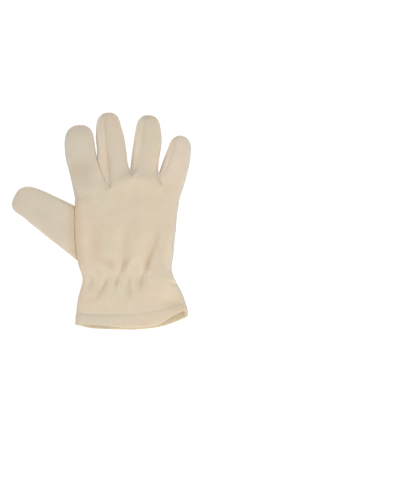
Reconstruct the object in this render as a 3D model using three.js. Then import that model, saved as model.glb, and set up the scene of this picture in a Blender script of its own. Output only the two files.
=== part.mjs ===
// A fleece glove for a right hand, lying on its palm with the thumb spread out to the left.
// It is sewn from a back panel, a palm panel, three side strips between the fingers (fourchettes) and a thumb,
// and its mouth is finished with a turned hem. Elastic draws it in at the wrist and folds run from that line.
//
// The whole outer skin is laid out first as a net of quads that follows the seams. Each panel is then its share
// of that net, given the thickness of the cloth, so neighbouring panels meet along their seam.
//
// Millimetres. X runs across the hand, Y from the cuff to the fingertips and Z up from the surface it lies on.
import * as THREE from "three";

// Driving dimensions
const WALL = 2.2; // one layer of fleece
const HEM_WALL = 4; // the turned hem is two layers
const SEAM_GAP = 0.3; // between two panels where they are sewn
const MOST_MITRE = 1.7; // how far a wall may thicken where the skin turns sharply
const WAIST = 0.46; // height of the widest line, as a share of the height of a section
const SOLE_SINK = 0.7; // how far the rounded underside is pressed flat on the surface

// The net: columns across the back and the front of each finger, and round each side
const BACK_COLUMNS = 8;
const FRONT_COLUMNS = 4;
const SIDE_COLUMNS = 4;
const FINGER_COUNT = 4;
const THUMB_FRONT_COLUMNS = 2; // how far the thumb's root reaches into the palm
const DOME_ANGLES = [28, 54, 76]; // rings of a fingertip, in degrees from its last section

// How square a section is: 2 is an ellipse
const HAND_SQUARENESS = 3.4;
const FINGER_SQUARENESS = 2.3;
const SOLE_SQUARENESS = 4.5;
const HAND_BACK_SHARE = 0.95; // the part of the hand's width that the back columns cover
const TIP_SQUARENESS = 2.3;
const THUMB_TIP_SQUARENESS = 2.6;

// Stations of the hand from the mouth to the fingers. left and right are the outline's two edges, height the
// height of the section there, thumbSide the height of its widest line on the thumb's side as a share of it,
// leftDrop and rightDrop how far below the widest line its side seams run, in degrees, backBow and palmBow how far
// the middle of the row lies towards the fingers on the two faces, cornerLift how far the back's row curves up
// towards the fingers at the little finger's side, crotch how much of the fingers' steps the row follows, webDip how
// far the palm's row dips beside the thumb, and rows the net's rows to the next one.
const HAND = [
  { name: "mouth", leftX: -30, leftY: -119.3, rightX: 99.3, rightY: -108.5, height: 16, thumbSide: 0.46, leftDrop: 0, rightDrop: 4, backBow: -6, palmBow: -10.7, cornerLift: 5, crotch: 0, webDip: 0, rows: 2 },
  { name: "hem_line", leftX: -29.1, leftY: -105.8, rightX: 96.7, rightY: -97, height: 16, thumbSide: 0.46, leftDrop: 0, rightDrop: 4, backBow: -5.5, palmBow: -8, cornerLift: 0, crotch: 0, webDip: 0, rows: 2 },
  { name: "cuff", leftX: -26.8, leftY: -89, rightX: 92.6, rightY: -83.5, height: 15, thumbSide: 0.46, leftDrop: 0, rightDrop: 4, backBow: -5, palmBow: -6, cornerLift: 0, crotch: 0, webDip: 0, rows: 2 },
  { name: "flare", leftX: -23.5, leftY: -77, rightX: 85.4, rightY: -70.5, height: 13.5, thumbSide: 0.46, leftDrop: 0, rightDrop: 4, backBow: -2.5, palmBow: -3, cornerLift: 0, crotch: 0, webDip: 0, rows: 2 },
  { name: "gather", leftX: -20.8, leftY: -67, rightX: 79.9, rightY: -57.5, height: 12, thumbSide: 0.46, leftDrop: 0, rightDrop: 4, backBow: -1, palmBow: -1, cornerLift: 0, crotch: 0, webDip: 0, rows: 2 },
  { name: "heel", leftX: -24.2, leftY: -56, rightX: 80.1, rightY: -47, height: 13.2, thumbSide: 0.5, leftDrop: 0, rightDrop: 4, backBow: 0, palmBow: 0, cornerLift: 0, crotch: 0, webDip: 0, rows: 2 },
  { name: "thumb_low", leftX: -27, leftY: -45.6, rightX: 81.4, rightY: -37, height: 14.5, thumbSide: 0.6, leftDrop: 0, rightDrop: 4, backBow: 0, palmBow: 0, cornerLift: 0, crotch: 0.04, webDip: 0, rows: 4 },
  { name: "palm", leftX: -30.2, leftY: -16.2, rightX: 84.5, rightY: -12.5, height: 15, thumbSide: 0.74, leftDrop: 0, rightDrop: 4, backBow: 0, palmBow: 0, cornerLift: 0, crotch: 0.3, webDip: 3, rows: 4 },
  { name: "thumb_top", leftX: -30.3, leftY: 15.4, rightX: 87.3, rightY: 14, height: 14.5, thumbSide: 0.66, leftDrop: 0, rightDrop: 4, backBow: 0, palmBow: 0, cornerLift: 0, crotch: 0.82, webDip: 11, rows: 2 },
  { name: "knuckle", leftX: -30.9, leftY: 25, rightX: 89, rightY: 27, height: 14, thumbSide: 0.46, leftDrop: 5, rightDrop: 4, backBow: 0, palmBow: 0, cornerLift: 0, crotch: 1, webDip: 0, rows: 0 },
];

// Where the fingers part, from the thumb's side: the share of the hand's width at the cuff and at the knuckles,
// and how far the crotch lies beyond the line between the hand's two edges.
const CROTCHES = [
  { atCuff: 0, atKnuckle: 0, beyond: 0 },
  { atCuff: 0.26, atKnuckle: 0.327, beyond: 12.2 },
  { atCuff: 0.5, atKnuckle: 0.528, beyond: 28.4 },
  { atCuff: 0.75, atKnuckle: 0.801, beyond: 23.8 },
  { atCuff: 1, atKnuckle: 1, beyond: 0 },
];

// Fingers from the thumb's side. Each section has its two edges and its height; the tip is where the dome ends.
// The seams are angles round the section, 0 at the right edge, 90 at the top and 180 at the left edge: the back
// panel runs from backRight to backLeft and the palm panel from palmLeft to palmRight. Round the tip, and on the
// outer side of the hand, they meet at leftSeam or rightSeam.
const FINGERS = [
  {
    name: "index", tipX: -24.7, tipY: 110, tipHeight: 11, backRight: -4, backLeft: 148, leftSeam: 196, palmLeft: 212, palmRight: 318,
    sections: [
      { leftX: -30.9, leftY: 25, rightX: 8, rightY: 37.8, height: 14 },
      { leftX: -35.8, leftY: 50.5, rightX: -0.9, rightY: 52.6, height: 13.2 },
      { leftX: -40.2, leftY: 68.6, rightX: -5.2, rightY: 69.8, height: 13.4 },
      { leftX: -41.7, leftY: 82.6, rightX: -7.1, rightY: 83.4, height: 13 },
      { leftX: -41.3, leftY: 94, rightX: -9.2, rightY: 94.4, height: 12.4 },
    ],
  },
  {
    name: "middle", tipX: 7.4, tipY: 124, tipHeight: 11, backRight: -4, backLeft: 98, leftSeam: 188, palmLeft: 204, palmRight: 318,
    sections: [
      { leftX: 8.3, leftY: 37.8, rightX: 32, rightY: 54.4, height: 14 },
      { leftX: -2.7, leftY: 60.4, rightX: 30.2, rightY: 64.4, height: 13.2 },
      { leftX: -5.4, leftY: 78.4, rightX: 28.1, rightY: 80.6, height: 13.4 },
      { leftX: -6.5, leftY: 94.3, rightX: 26, rightY: 94.8, height: 12.8 },
      { leftX: -6.4, leftY: 107.8, rightX: 22.9, rightY: 108.2, height: 12.2 },
    ],
  },
  {
    name: "ring", tipX: 53.6, tipY: 121.2, tipHeight: 11, backRight: -4, backLeft: 104, leftSeam: 188, palmLeft: 204, palmRight: 318,
    sections: [
      { leftX: 32.3, leftY: 54.4, rightX: 64.6, rightY: 50.4, height: 14 },
      { leftX: 33.5, leftY: 64.6, rightX: 64.1, rightY: 63, height: 13.2 },
      { leftX: 35.8, leftY: 81.4, rightX: 66.8, rightY: 79.6, height: 13 },
      { leftX: 37.8, leftY: 95.2, rightX: 68.4, rightY: 93.8, height: 12.6 },
      { leftX: 39.5, leftY: 107.4, rightX: 67.3, rightY: 106.6, height: 12 },
    ],
  },
  {
    name: "little", tipX: 92, tipY: 97.4, tipHeight: 10, backRight: 32, backLeft: 112, leftSeam: 190, palmLeft: 204, palmRight: 328, rightSeam: -16,
    sections: [
      { leftX: 64.8, leftY: 50.4, rightX: 89, rightY: 27, height: 14 },
      { leftX: 67.2, leftY: 58.4, rightX: 95.8, rightY: 46.4, height: 13 },
      { leftX: 70.6, leftY: 69, rightX: 99.8, rightY: 61.2, height: 12.8 },
      { leftX: 73.8, leftY: 77, rightX: 101.4, rightY: 70.4, height: 12.2 },
      { leftX: 76.6, leftY: 83.4, rightX: 101.6, rightY: 77.6, height: 11.4 },
    ],
  },
];

// The thumb, from the hand's edge to its tip. left is the edge towards the cuff and right the edge towards the
// index finger.
const THUMB = {
  name: "thumb", tipX: -99.2, tipY: 27.8, tipHeight: 10, backRight: 30, backLeft: 150, palmLeft: 212, palmRight: 328,
  sections: [
    { leftX: -27, leftY: -45.6, rightX: -30.3, rightY: 15.4, height: 13 },
    { leftX: -42.4, leftY: -33, rightX: -40.6, rightY: 22, height: 13 },
    { leftX: -63.1, leftY: -17, rightX: -55.6, rightY: 29.4, height: 13 },
    { leftX: -80.8, leftY: -2.7, rightX: -69, rightY: 35.6, height: 12.4 },
    { leftX: -93.1, leftY: 7.6, rightX: -78.6, rightY: 38.9, height: 11.6 },
  ],
};
const THUMB_BLEND_RINGS = 4; // rings over which the thumb leaves the shape of the hole it is sewn into
const FINGER_BLEND_RINGS = 3;
const WEB_FINGERS = 1.4; // how far across the palm the rows dip beside the thumb, in fingers
const CROTCH_DEPTH = 5.6; // how deep the cloth is at the fold between two fingers
const CROTCH_SET_BACK = 1.2; // how far that fold curves in between the back and the palm

// Folds of the back, each a line from (x0, y0) to (x1, y1) that bows sideways by bow. width is its half width,
// lift its height, below zero for a valley, and peak where along it the fold is strongest.
const FOLDS = [
  { name: "above_1", x0: -12, y0: -37, x1: 17, y1: -60, bow: 0, width: 4.4, lift: -1.3, peak: 0.75 },
  { name: "above_2", x0: 34, y0: -30, x1: 24.6, y1: -62, bow: 0, width: 3, lift: -2.1, peak: 0.7 },
  { name: "above_3", x0: 72, y0: 6, x1: 50.5, y1: -60, bow: -2.5, width: 3.8, lift: -2.2, peak: 0.75 },
  { name: "below_1", x0: -10, y0: -62, x1: -14, y1: -84, bow: 0, width: 3, lift: -1, peak: 0.35 },
  { name: "below_2", x0: 11, y0: -60, x1: -8.5, y1: -94, bow: 1.5, width: 3.2, lift: -1.8, peak: 0.45 },
  { name: "below_3", x0: 22.4, y0: -62, x1: 14.6, y1: -86, bow: 0, width: 2.8, lift: -1.4, peak: 0.4 },
  { name: "below_4", x0: 31, y0: -60, x1: 38.6, y1: -92, bow: -1, width: 2.8, lift: -1.9, peak: 0.5 },
  { name: "below_5", x0: 49, y0: -57, x1: 43.6, y1: -84, bow: 0, width: 2.8, lift: -1.7, peak: 0.4 },
  { name: "cuff_dent", x0: 64, y0: -101, x1: 93, y1: -88, bow: 0, width: 5, lift: -1.6, peak: 0.6 },
  { name: "cuff_bulge", x0: 74, y0: -74, x1: 84, y1: -92, bow: 0, width: 5, lift: 1.4, peak: 0.6 },
  { name: "thumb_ridge", x0: -22.5, y0: 10, x1: -20.5, y1: -48, bow: 0, width: 3, lift: 0.8, peak: 0.5 },
  { name: "palm_hollow", x0: 3, y0: 8, x1: 4, y1: -44, bow: 0, width: 9, lift: -1.1, peak: 0.5 },
  { name: "middle_ridge", x0: 2, y0: 34, x1: 18, y1: -16, bow: 0, width: 6, lift: 0.8, peak: 0.45 },
  { name: "ring_hollow", x0: 37, y0: 20, x1: 30, y1: -34, bow: 0, width: 6, lift: -0.8, peak: 0.5 },
  { name: "ring_ridge", x0: 57, y0: 14, x1: 42, y1: -48, bow: 0, width: 6, lift: 1.2, peak: 0.6 },
  { name: "knuckle_ridge", x0: -30, y0: 43, x1: 76, y1: 38, bow: 5, width: 6, lift: 1, peak: 0.55 },
  { name: "index_bend", x0: -42, y0: 77, x1: -8, y1: 75, bow: 0, width: 13, lift: -0.8, peak: 0.45 },
  { name: "middle_seam", x0: 10.6, y0: 114, x1: 9.4, y1: 42, bow: 0, width: 5.5, lift: -1.3, peak: 0.65 },
  { name: "ring_seam", x0: 51, y0: 117, x1: 44.5, y1: 64, bow: 0, width: 4, lift: -0.8, peak: 0.35 },
  { name: "little_seam", x0: 80, y0: 76, x1: 73.5, y1: 46, bow: 0, width: 4, lift: -0.8, peak: 0.6 },
];

// Gathers of the palm side: recesses as wide as pitch, highest on the gather row and gone within reach of it
const PALM_GATHERS = { pitch: 14, lift: 1.5, reach: 15 };

const FLEECE = new THREE.MeshStandardMaterial({ color: 0xd9cab4, roughness: 0.95, metalness: 0 });

// Plain helpers
const lerp = THREE.MathUtils.lerp;
const toRadians = THREE.MathUtils.degToRad;
const smooth = (share) => THREE.MathUtils.smoothstep(share, 0, 1);

// Every numeric column of a table at a place between its rows, on a Catmull-Rom curve through the rows.
function sampleTable(rows, place) {
  const last = rows.length - 1;
  const index = Math.min(Math.floor(place), last - 1);
  const share = place - index;
  const [before, from, to, after] = [-1, 0, 1, 2].map((step) => rows[THREE.MathUtils.clamp(index + step, 0, last)]);
  const sampled = {};
  for (const column of Object.keys(from).filter((key) => typeof from[key] === "number")) {
    const slopeFrom = (to[column] - before[column]) / 2;
    const slopeTo = (after[column] - from[column]) / 2;
    const rise = to[column] - from[column];
    const cubic = slopeFrom + slopeTo - 2 * rise;
    sampled[column] = from[column] + share * (slopeFrom + share * (3 * rise - 2 * slopeFrom - slopeTo + share * cubic));
  }
  return sampled;
}

// The sum of the folds of the back at (x, y).
function foldLift(x, y) {
  let lift = 0;
  for (const fold of FOLDS) {
    const [alongX, alongY] = [fold.x1 - fold.x0, fold.y1 - fold.y0];
    const length = Math.hypot(alongX, alongY);
    const share = ((x - fold.x0) * alongX + (y - fold.y0) * alongY) / length ** 2;
    if (share <= 0 || share >= 1) continue;
    const aside = ((y - fold.y0) * alongX - (x - fold.x0) * alongY) / length - fold.bow * 4 * share * (1 - share);
    const strength = share < fold.peak ? smooth(share / fold.peak) : smooth((1 - share) / (1 - fold.peak));
    lift += fold.lift * strength * Math.exp(-((aside / fold.width) ** 2));
  }
  return lift;
}

// Height of a section's skin over the surface at the share c of its half width, on its upper or its under side.
// inset moves it into the section.
function sectionHeight(c, height, squareness, upper, waistShare = WAIST, inset = 0) {
  const waist = waistShare * height;
  const power = upper ? squareness : SOLE_SQUARENESS;
  const bulge = Math.max(0, 1 - Math.abs(c) ** power) ** (1 / power);
  if (upper) return waist + (height - inset - waist) * bulge;
  return Math.max(inset, waist - (waist - inset + SOLE_SINK) * bulge);
}

// The skin: its points, the way from each to the inside of the cloth where that is known, and faces that list
// their corners counter-clockwise from outside with the panel they are in. Some of these ways are blended from
// the one at another point, its root.
const skin = { points: [], insets: [], blends: [], faces: [] };

function addPoint(point, inset = null, root = null, share = 1) {
  skin.insets.push(inset);
  skin.blends.push({ root, share });
  return skin.points.push(point) - 1;
}

// Joins two rings of the same length by quads; panelOf gives the panel of the quad after a column, or null for none.
function joinRings(ring, nextRing, panelOf) {
  ring.forEach((corner, column) => {
    const panel = panelOf(column);
    const next = (column + 1) % ring.length;
    if (panel) skin.faces.push({ corners: [corner, ring[next], nextRing[next], nextRing[column]], panel });
  });
}

// Columns of the hand's ring: the back from left to right, down the right side, the palm, and up the left side.
const BACK_TOTAL = FINGER_COUNT * BACK_COLUMNS;
const FRONT_TOTAL = FINGER_COUNT * FRONT_COLUMNS;
const RING_TOTAL = BACK_TOTAL + FRONT_TOTAL + 2 * SIDE_COLUMNS;
const PALM_START = BACK_TOTAL + SIDE_COLUMNS;
const RIGHT_SEAM = BACK_TOTAL + SIDE_COLUMNS / 2;
const LEFT_SEAM = RING_TOTAL - SIDE_COLUMNS / 2;
const THUMB_SIDE_COLUMNS = SIDE_COLUMNS / 2 + THUMB_FRONT_COLUMNS;

const rowOfStation = (name) => {
  const index = HAND.findIndex((station) => station.name === name);
  return HAND.slice(0, index).reduce((sum, station) => sum + station.rows, 0);
};
const HEM_ROW = rowOfStation("hem_line");
const THUMB_LOW_ROW = rowOfStation("thumb_low");
const THUMB_TOP_ROW = rowOfStation("thumb_top");
const KNUCKLE_ROW = rowOfStation("knuckle");

// A net row's place in the station table.
function placeOfRow(row) {
  let index = 0;
  let left = row;
  while (index < HAND.length - 1 && left >= HAND[index].rows) left -= HAND[index++].rows;
  return index + (HAND[index].rows ? left / HAND[index].rows : 0);
}

// A point of the hand's net on its upper or under side, at a finger count across it and a share c of its half width.
function handPoint(station, fingersAcross, c, upper) {
  const parting = sampleTable(CROTCHES, fingersAcross);
  const across = (c + 1) / 2;
  const x = lerp(station.leftX, station.rightX, across);
  const bow = (upper ? station.backBow : station.palmBow) * 4 * across * (1 - across);
  const corner = upper ? station.cornerLift * smooth((across - 0.55) / 0.45) : 0;
  const web = upper ? 0 : station.webDip * Math.sin(Math.PI * THREE.MathUtils.clamp(fingersAcross / WEB_FINGERS, 0, 1));
  const y = lerp(station.leftY, station.rightY, across) + bow + corner + station.crotch * parting.beyond - web;
  const waist = lerp(station.thumbSide, WAIST, smooth(across * 3));
  let z = sectionHeight(c, station.height, HAND_SQUARENESS, upper, waist);
  const away = smooth((1 - Math.abs(c)) * 6);
  if (upper) z += away * foldLift(x, y);
  else {
    const gather = HAND.find((row) => row.name === "gather");
    const nearness = Math.exp(-(((y - lerp(gather.leftY, gather.rightY, across)) / PALM_GATHERS.reach) ** 2));
    z += away * PALM_GATHERS.lift * nearness * (0.5 - 0.5 * Math.cos((2 * Math.PI * x) / PALM_GATHERS.pitch));
  }
  return addPoint(new THREE.Vector3(x, y, z));
}

// The share of the half width at which a column of the back or the palm lies.
function columnShare(station, fingersAcross) {
  const parting = sampleTable(CROTCHES, fingersAcross);
  return HAND_BACK_SHARE * (2 * lerp(parting.atCuff, parting.atKnuckle, station.crotch) - 1);
}

// One side of the hand, from its upper side to its under side, without the two end columns.
function handSide(station, right) {
  const corner = Math.acos(HAND_BACK_SHARE ** (HAND_SQUARENESS / 2));
  const side = right ? 1 : -1;
  const seam = -toRadians(right ? station.rightDrop : station.leftDrop);
  const half = SIDE_COLUMNS / 2;
  const indices = [];
  for (let step = 1; step < SIDE_COLUMNS; step++) {
    const angle = step < half ? lerp(corner, seam, step / half) : lerp(seam, -corner, step / half - 1);
    const c = side * Math.cos(angle) ** (2 / HAND_SQUARENESS);
    indices.push(handPoint(station, right ? FINGER_COUNT : 0, c, angle >= 0));
  }
  return indices;
}

function handRing(row) {
  const station = sampleTable(HAND, placeOfRow(row));
  const ring = [];
  for (let column = 0; column <= BACK_TOTAL; column++) {
    const fingersAcross = column / BACK_COLUMNS;
    ring.push(handPoint(station, fingersAcross, columnShare(station, fingersAcross), true));
  }
  ring.push(...handSide(station, true));
  for (let column = FRONT_TOTAL; column >= 0; column--) {
    const fingersAcross = column / FRONT_COLUMNS;
    ring.push(handPoint(station, fingersAcross, columnShare(station, fingersAcross), false));
  }
  ring.push(...handSide(station, false).reverse());
  return ring;
}

function handPanelOf(row) {
  return (column) => {
    const overThumb = row >= THUMB_LOW_ROW && row < THUMB_TOP_ROW;
    if (overThumb && column >= LEFT_SEAM - THUMB_SIDE_COLUMNS && column < LEFT_SEAM) return null;
    if (row < HEM_ROW) return "cuff_hem";
    return column < RIGHT_SEAM || column >= LEFT_SEAM ? "back_panel" : "palm_panel";
  };
}

// Angles of a finger's columns: over the back, down the right side, under the front and up the left side. A side's
// seam is halfway through its columns.
function columnAngles(finger, backColumns, sideColumns, frontColumns) {
  const { backLeft, backRight, palmLeft, palmRight } = finger;
  const { leftSeam = (backLeft + palmLeft) / 2, rightSeam = (backRight + palmRight - 360) / 2 } = finger;
  const corners = [backLeft, backRight, rightSeam, palmRight - 360, palmLeft - 360, leftSeam - 360, backLeft - 360];
  const half = sideColumns / 2;
  const counts = [backColumns, half, half, frontColumns, half, half];
  return counts.flatMap((count, leg) =>
    Array.from({ length: count }, (_, step) => toRadians(lerp(corners[leg], corners[leg + 1], step / count))),
  );
}

// One section of a finger from its middle and the vector to its right edge: the skin's points, or with an inset
// the points that far inside it.
function sectionPoints(angles, middle, halfAcross, height, inset = 0) {
  const inner = halfAcross.clone().setLength(halfAcross.length() - inset);
  return angles.map((angle) => {
    const cosine = Math.cos(angle);
    const c = Math.sign(cosine) * Math.abs(cosine) ** (2 / FINGER_SQUARENESS);
    const upper = Math.sin(angle) >= 0;
    const place = new THREE.Vector3(middle.x + inner.x * c, middle.y + inner.y * c, 0);
    const lift = upper ? smooth((1 - Math.abs(c)) * 4) * foldLift(place.x, place.y) : 0;
    return place.setZ(sectionHeight(c, height, FINGER_SQUARENESS, upper, WAIST, inset) + lift);
  });
}

// Every ring of a finger beyond its root as the skin's points and the inside's: rows between its sections, then
// the dome of its tip.
function fingerRings(finger, angles, rowsBetween, tipSquareness) {
  const rings = [];
  const addRing = (...section) => rings.push([sectionPoints(angles, ...section), sectionPoints(angles, ...section, WALL)]);
  const edges = (section) => [
    new THREE.Vector2((section.leftX + section.rightX) / 2, (section.leftY + section.rightY) / 2),
    new THREE.Vector2((section.rightX - section.leftX) / 2, (section.rightY - section.leftY) / 2),
  ];
  const spans = finger.sections.length - 1;
  for (let row = 1; row <= spans * rowsBetween; row++) {
    const section = sampleTable(finger.sections, row / rowsBetween);
    addRing(...edges(section), section.height);
  }
  const last = finger.sections[spans];
  const [middle, halfAcross] = edges(last);
  const reach = new THREE.Vector2(finger.tipX, finger.tipY).sub(middle);
  const domeRing = (degrees, inset) => {
    const [sine, cosine] = [Math.sin(toRadians(degrees)), Math.cos(toRadians(degrees))];
    const width = cosine ** (2 / tipSquareness);
    const forward = sine ** (2 / tipSquareness);
    const height = lerp(last.height, finger.tipHeight, forward) * (0.45 + 0.55 * width);
    const centre = middle.clone().addScaledVector(reach.clone().setLength(reach.length() - inset), forward);
    const half = halfAcross.clone().setLength((halfAcross.length() - inset) * width + inset);
    return sectionPoints(angles, centre, inset ? half : halfAcross.clone().multiplyScalar(width), height, inset);
  };
  for (const degrees of DOME_ANGLES) rings.push([domeRing(degrees, 0), domeRing(degrees, WALL)]);
  return rings;
}

// Grows a finger out of a ring of the skin. The first rings are blended from the root's own shape.
function growFinger(finger, root, rings, blendRings, panelOf) {
  let ring = root;
  rings.forEach(([points, insides], index) => {
    const share = smooth((index + 1) / blendRings);
    const depthShare = smooth((index + 2) / (blendRings + 1));
    const next = points.map((point, column) => {
      const settled = skin.points[root[column]].clone().lerp(point, share);
      return addPoint(settled, insides[column].clone().sub(point), root[column], depthShare);
    });
    joinRings(ring, next, (column) => panelOf(column, index));
    ring = next;
  });
  const last = finger.sections[finger.sections.length - 1];
  const middle = new THREE.Vector2((last.leftX + last.rightX) / 2, (last.leftY + last.rightY) / 2);
  const inwards = middle.sub(new THREE.Vector2(finger.tipX, finger.tipY)).setLength(WALL);
  const tip = new THREE.Vector3(finger.tipX, finger.tipY, WAIST * finger.tipHeight * 0.61);
  const peak = addPoint(tip, new THREE.Vector3(inwards.x, inwards.y, 0));
  ring.forEach((corner, column) => {
    skin.faces.push({ corners: [corner, ring[(column + 1) % ring.length], peak], panel: panelOf(column, rings.length) });
  });
}

// The wall between two fingers at their crotch, from the back to the palm, set a little towards the wrist. The way
// the fingers part gives its depth.
function crotchChain(top, bottom, finger, nextFinger) {
  const [from, to] = [skin.points[top], skin.points[bottom]];
  const [right, left] = [finger.sections[1], nextFinger.sections[1]];
  const parting = new THREE.Vector3((right.rightX + left.leftX) / 2 - from.x, (right.rightY + left.leftY) / 2 - from.y, 0);
  parting.normalize();
  const chain = [];
  for (let step = 0; step <= SIDE_COLUMNS; step++) {
    const share = step / SIDE_COLUMNS;
    const point = from.clone().lerp(to, share).addScaledVector(parting, -CROTCH_SET_BACK * 4 * share * (1 - share));
    const inset = parting.clone().multiplyScalar(-CROTCH_DEPTH);
    if (step === 0) inset.z = -WALL;
    if (step === SIDE_COLUMNS) inset.z = WALL + 0.3;
    if (step === 0) chain.push(top);
    else if (step === SIDE_COLUMNS) chain.push(bottom);
    else chain.push(addPoint(point));
    skin.insets[chain[step]] = inset;
  }
  return chain;
}

const FOURCHETTES = ["fourchette_index_middle", "fourchette_middle_ring", "fourchette_ring_little"];

function growFingers(knuckleRing) {
  const palmAt = (column) => knuckleRing[PALM_START + FRONT_TOTAL - column];
  const rightSide = knuckleRing.slice(BACK_TOTAL, PALM_START + 1);
  const leftSide = [...knuckleRing.slice(PALM_START + FRONT_TOTAL), knuckleRing[0]].reverse();
  const chains = [leftSide];
  for (let finger = 1; finger < FINGER_COUNT; finger++) {
    const corners = [knuckleRing[finger * BACK_COLUMNS], palmAt(finger * FRONT_COLUMNS)];
    chains.push(crotchChain(...corners, FINGERS[finger - 1], FINGERS[finger]));
  }
  chains.push(rightSide);

  FINGERS.forEach((finger, index) => {
    const back = knuckleRing.slice(index * BACK_COLUMNS, (index + 1) * BACK_COLUMNS);
    const front = Array.from({ length: FRONT_COLUMNS }, (_, step) => palmAt((index + 1) * FRONT_COLUMNS - step));
    const root = [...back, ...chains[index + 1].slice(0, -1), ...front, ...chains[index].slice(1).reverse()];
    const angles = columnAngles(finger, BACK_COLUMNS, SIDE_COLUMNS, FRONT_COLUMNS);
    const rings = fingerRings(finger, angles, 2, TIP_SQUARENESS);
    const rightStart = BACK_COLUMNS;
    const frontStart = rightStart + SIDE_COLUMNS;
    const leftStart = frontStart + FRONT_COLUMNS;
    const lastStripRing = rings.length - 2;
    growFinger(finger, root, rings, FINGER_BLEND_RINGS, (column, ring) => {
      if (column < rightStart) return "back_panel";
      if (column >= frontStart && column < leftStart) return "palm_panel";
      const onRight = column < frontStart;
      const strip = FOURCHETTES[onRight ? index : index - 1];
      if (strip && ring <= lastStripRing) return strip;
      const fromBack = onRight ? column - rightStart : leftStart + SIDE_COLUMNS - 1 - column;
      return fromBack < SIDE_COLUMNS / 2 ? "back_panel" : "palm_panel";
    });
  });
}

function growThumb(handRings) {
  const seamLine = handRings.slice(THUMB_LOW_ROW, THUMB_TOP_ROW + 1).map((ring) => ring[LEFT_SEAM]);
  const palmLine = handRings.slice(THUMB_LOW_ROW, THUMB_TOP_ROW + 1).map((ring) => ring[LEFT_SEAM - THUMB_SIDE_COLUMNS]);
  const acrossTop = handRings[THUMB_TOP_ROW].slice(LEFT_SEAM - THUMB_SIDE_COLUMNS, LEFT_SEAM + 1).reverse();
  const acrossLow = handRings[THUMB_LOW_ROW].slice(LEFT_SEAM - THUMB_SIDE_COLUMNS, LEFT_SEAM + 1);
  const root = [...seamLine.slice(0, -1), ...acrossTop.slice(0, -1), ...palmLine.reverse().slice(0, -1), ...acrossLow.slice(0, -1)];
  const rowCount = THUMB_TOP_ROW - THUMB_LOW_ROW;
  const angles = columnAngles(THUMB, rowCount, THUMB_SIDE_COLUMNS, rowCount);
  growFinger(THUMB, root, fingerRings(THUMB, angles, 2, THUMB_TIP_SQUARENESS), THUMB_BLEND_RINGS, () => "thumb");
}

function buildSkin() {
  const handRings = [];
  for (let row = 0; row <= KNUCKLE_ROW; row++) handRings.push(handRing(row));
  for (let row = 0; row < KNUCKLE_ROW; row++) joinRings(handRings[row], handRings[row + 1], handPanelOf(row));
  growFingers(handRings[KNUCKLE_ROW]);
  growThumb(handRings);
}

// The area of a face as a vector along its normal.
function areaVector(corners) {
  const [first, ...others] = corners.map((corner) => skin.points[corner]);
  const arms = others.map((point) => point.clone().sub(first));
  const area = new THREE.Vector3();
  for (let arm = 1; arm < arms.length; arm++) area.add(arms[arm - 1].clone().cross(arms[arm]));
  return area;
}

// The way from every point of the skin to the inside of the cloth: along the mean normal of the faces round it, and
// further where they turn, unless it is known.
function skinInsets(wall) {
  const areas = skin.faces.map(({ corners }) => areaVector(corners));
  const normals = skin.points.map(() => new THREE.Vector3());
  skin.faces.forEach(({ corners }, face) => corners.forEach((corner) => normals[corner].add(areas[face])));
  normals.forEach((normal) => normal.normalize());
  const leanings = skin.points.map(() => []);
  skin.faces.forEach(({ corners }, face) => {
    const unit = areas[face].normalize();
    corners.forEach((corner) => leanings[corner].push(unit.dot(normals[corner])));
  });
  const insets = [];
  for (const [index, normal] of normals.entries()) {
    const { root, share } = skin.blends[index];
    const mean = leanings[index].reduce((sum, value) => sum + value, 0) / leanings[index].length;
    const ownInset = skin.insets[index] ?? normal.clone().multiplyScalar(-wall * Math.min(MOST_MITRE, 1 / Math.max(mean, 0.1)));
    insets.push(root === null ? ownInset : insets[root].clone().lerp(ownInset, share));
  }
  return insets;
}

// Splits a quad along its shorter diagonal.
function triangles(corners, place) {
  if (corners.length === 3) return [corners];
  const [a, b, c, d] = corners;
  const shortAC = place(a).distanceTo(place(c)) < place(b).distanceTo(place(d));
  return shortAC ? [[a, b, c], [a, c, d]] : [[a, b, d], [b, c, d]];
}

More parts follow.
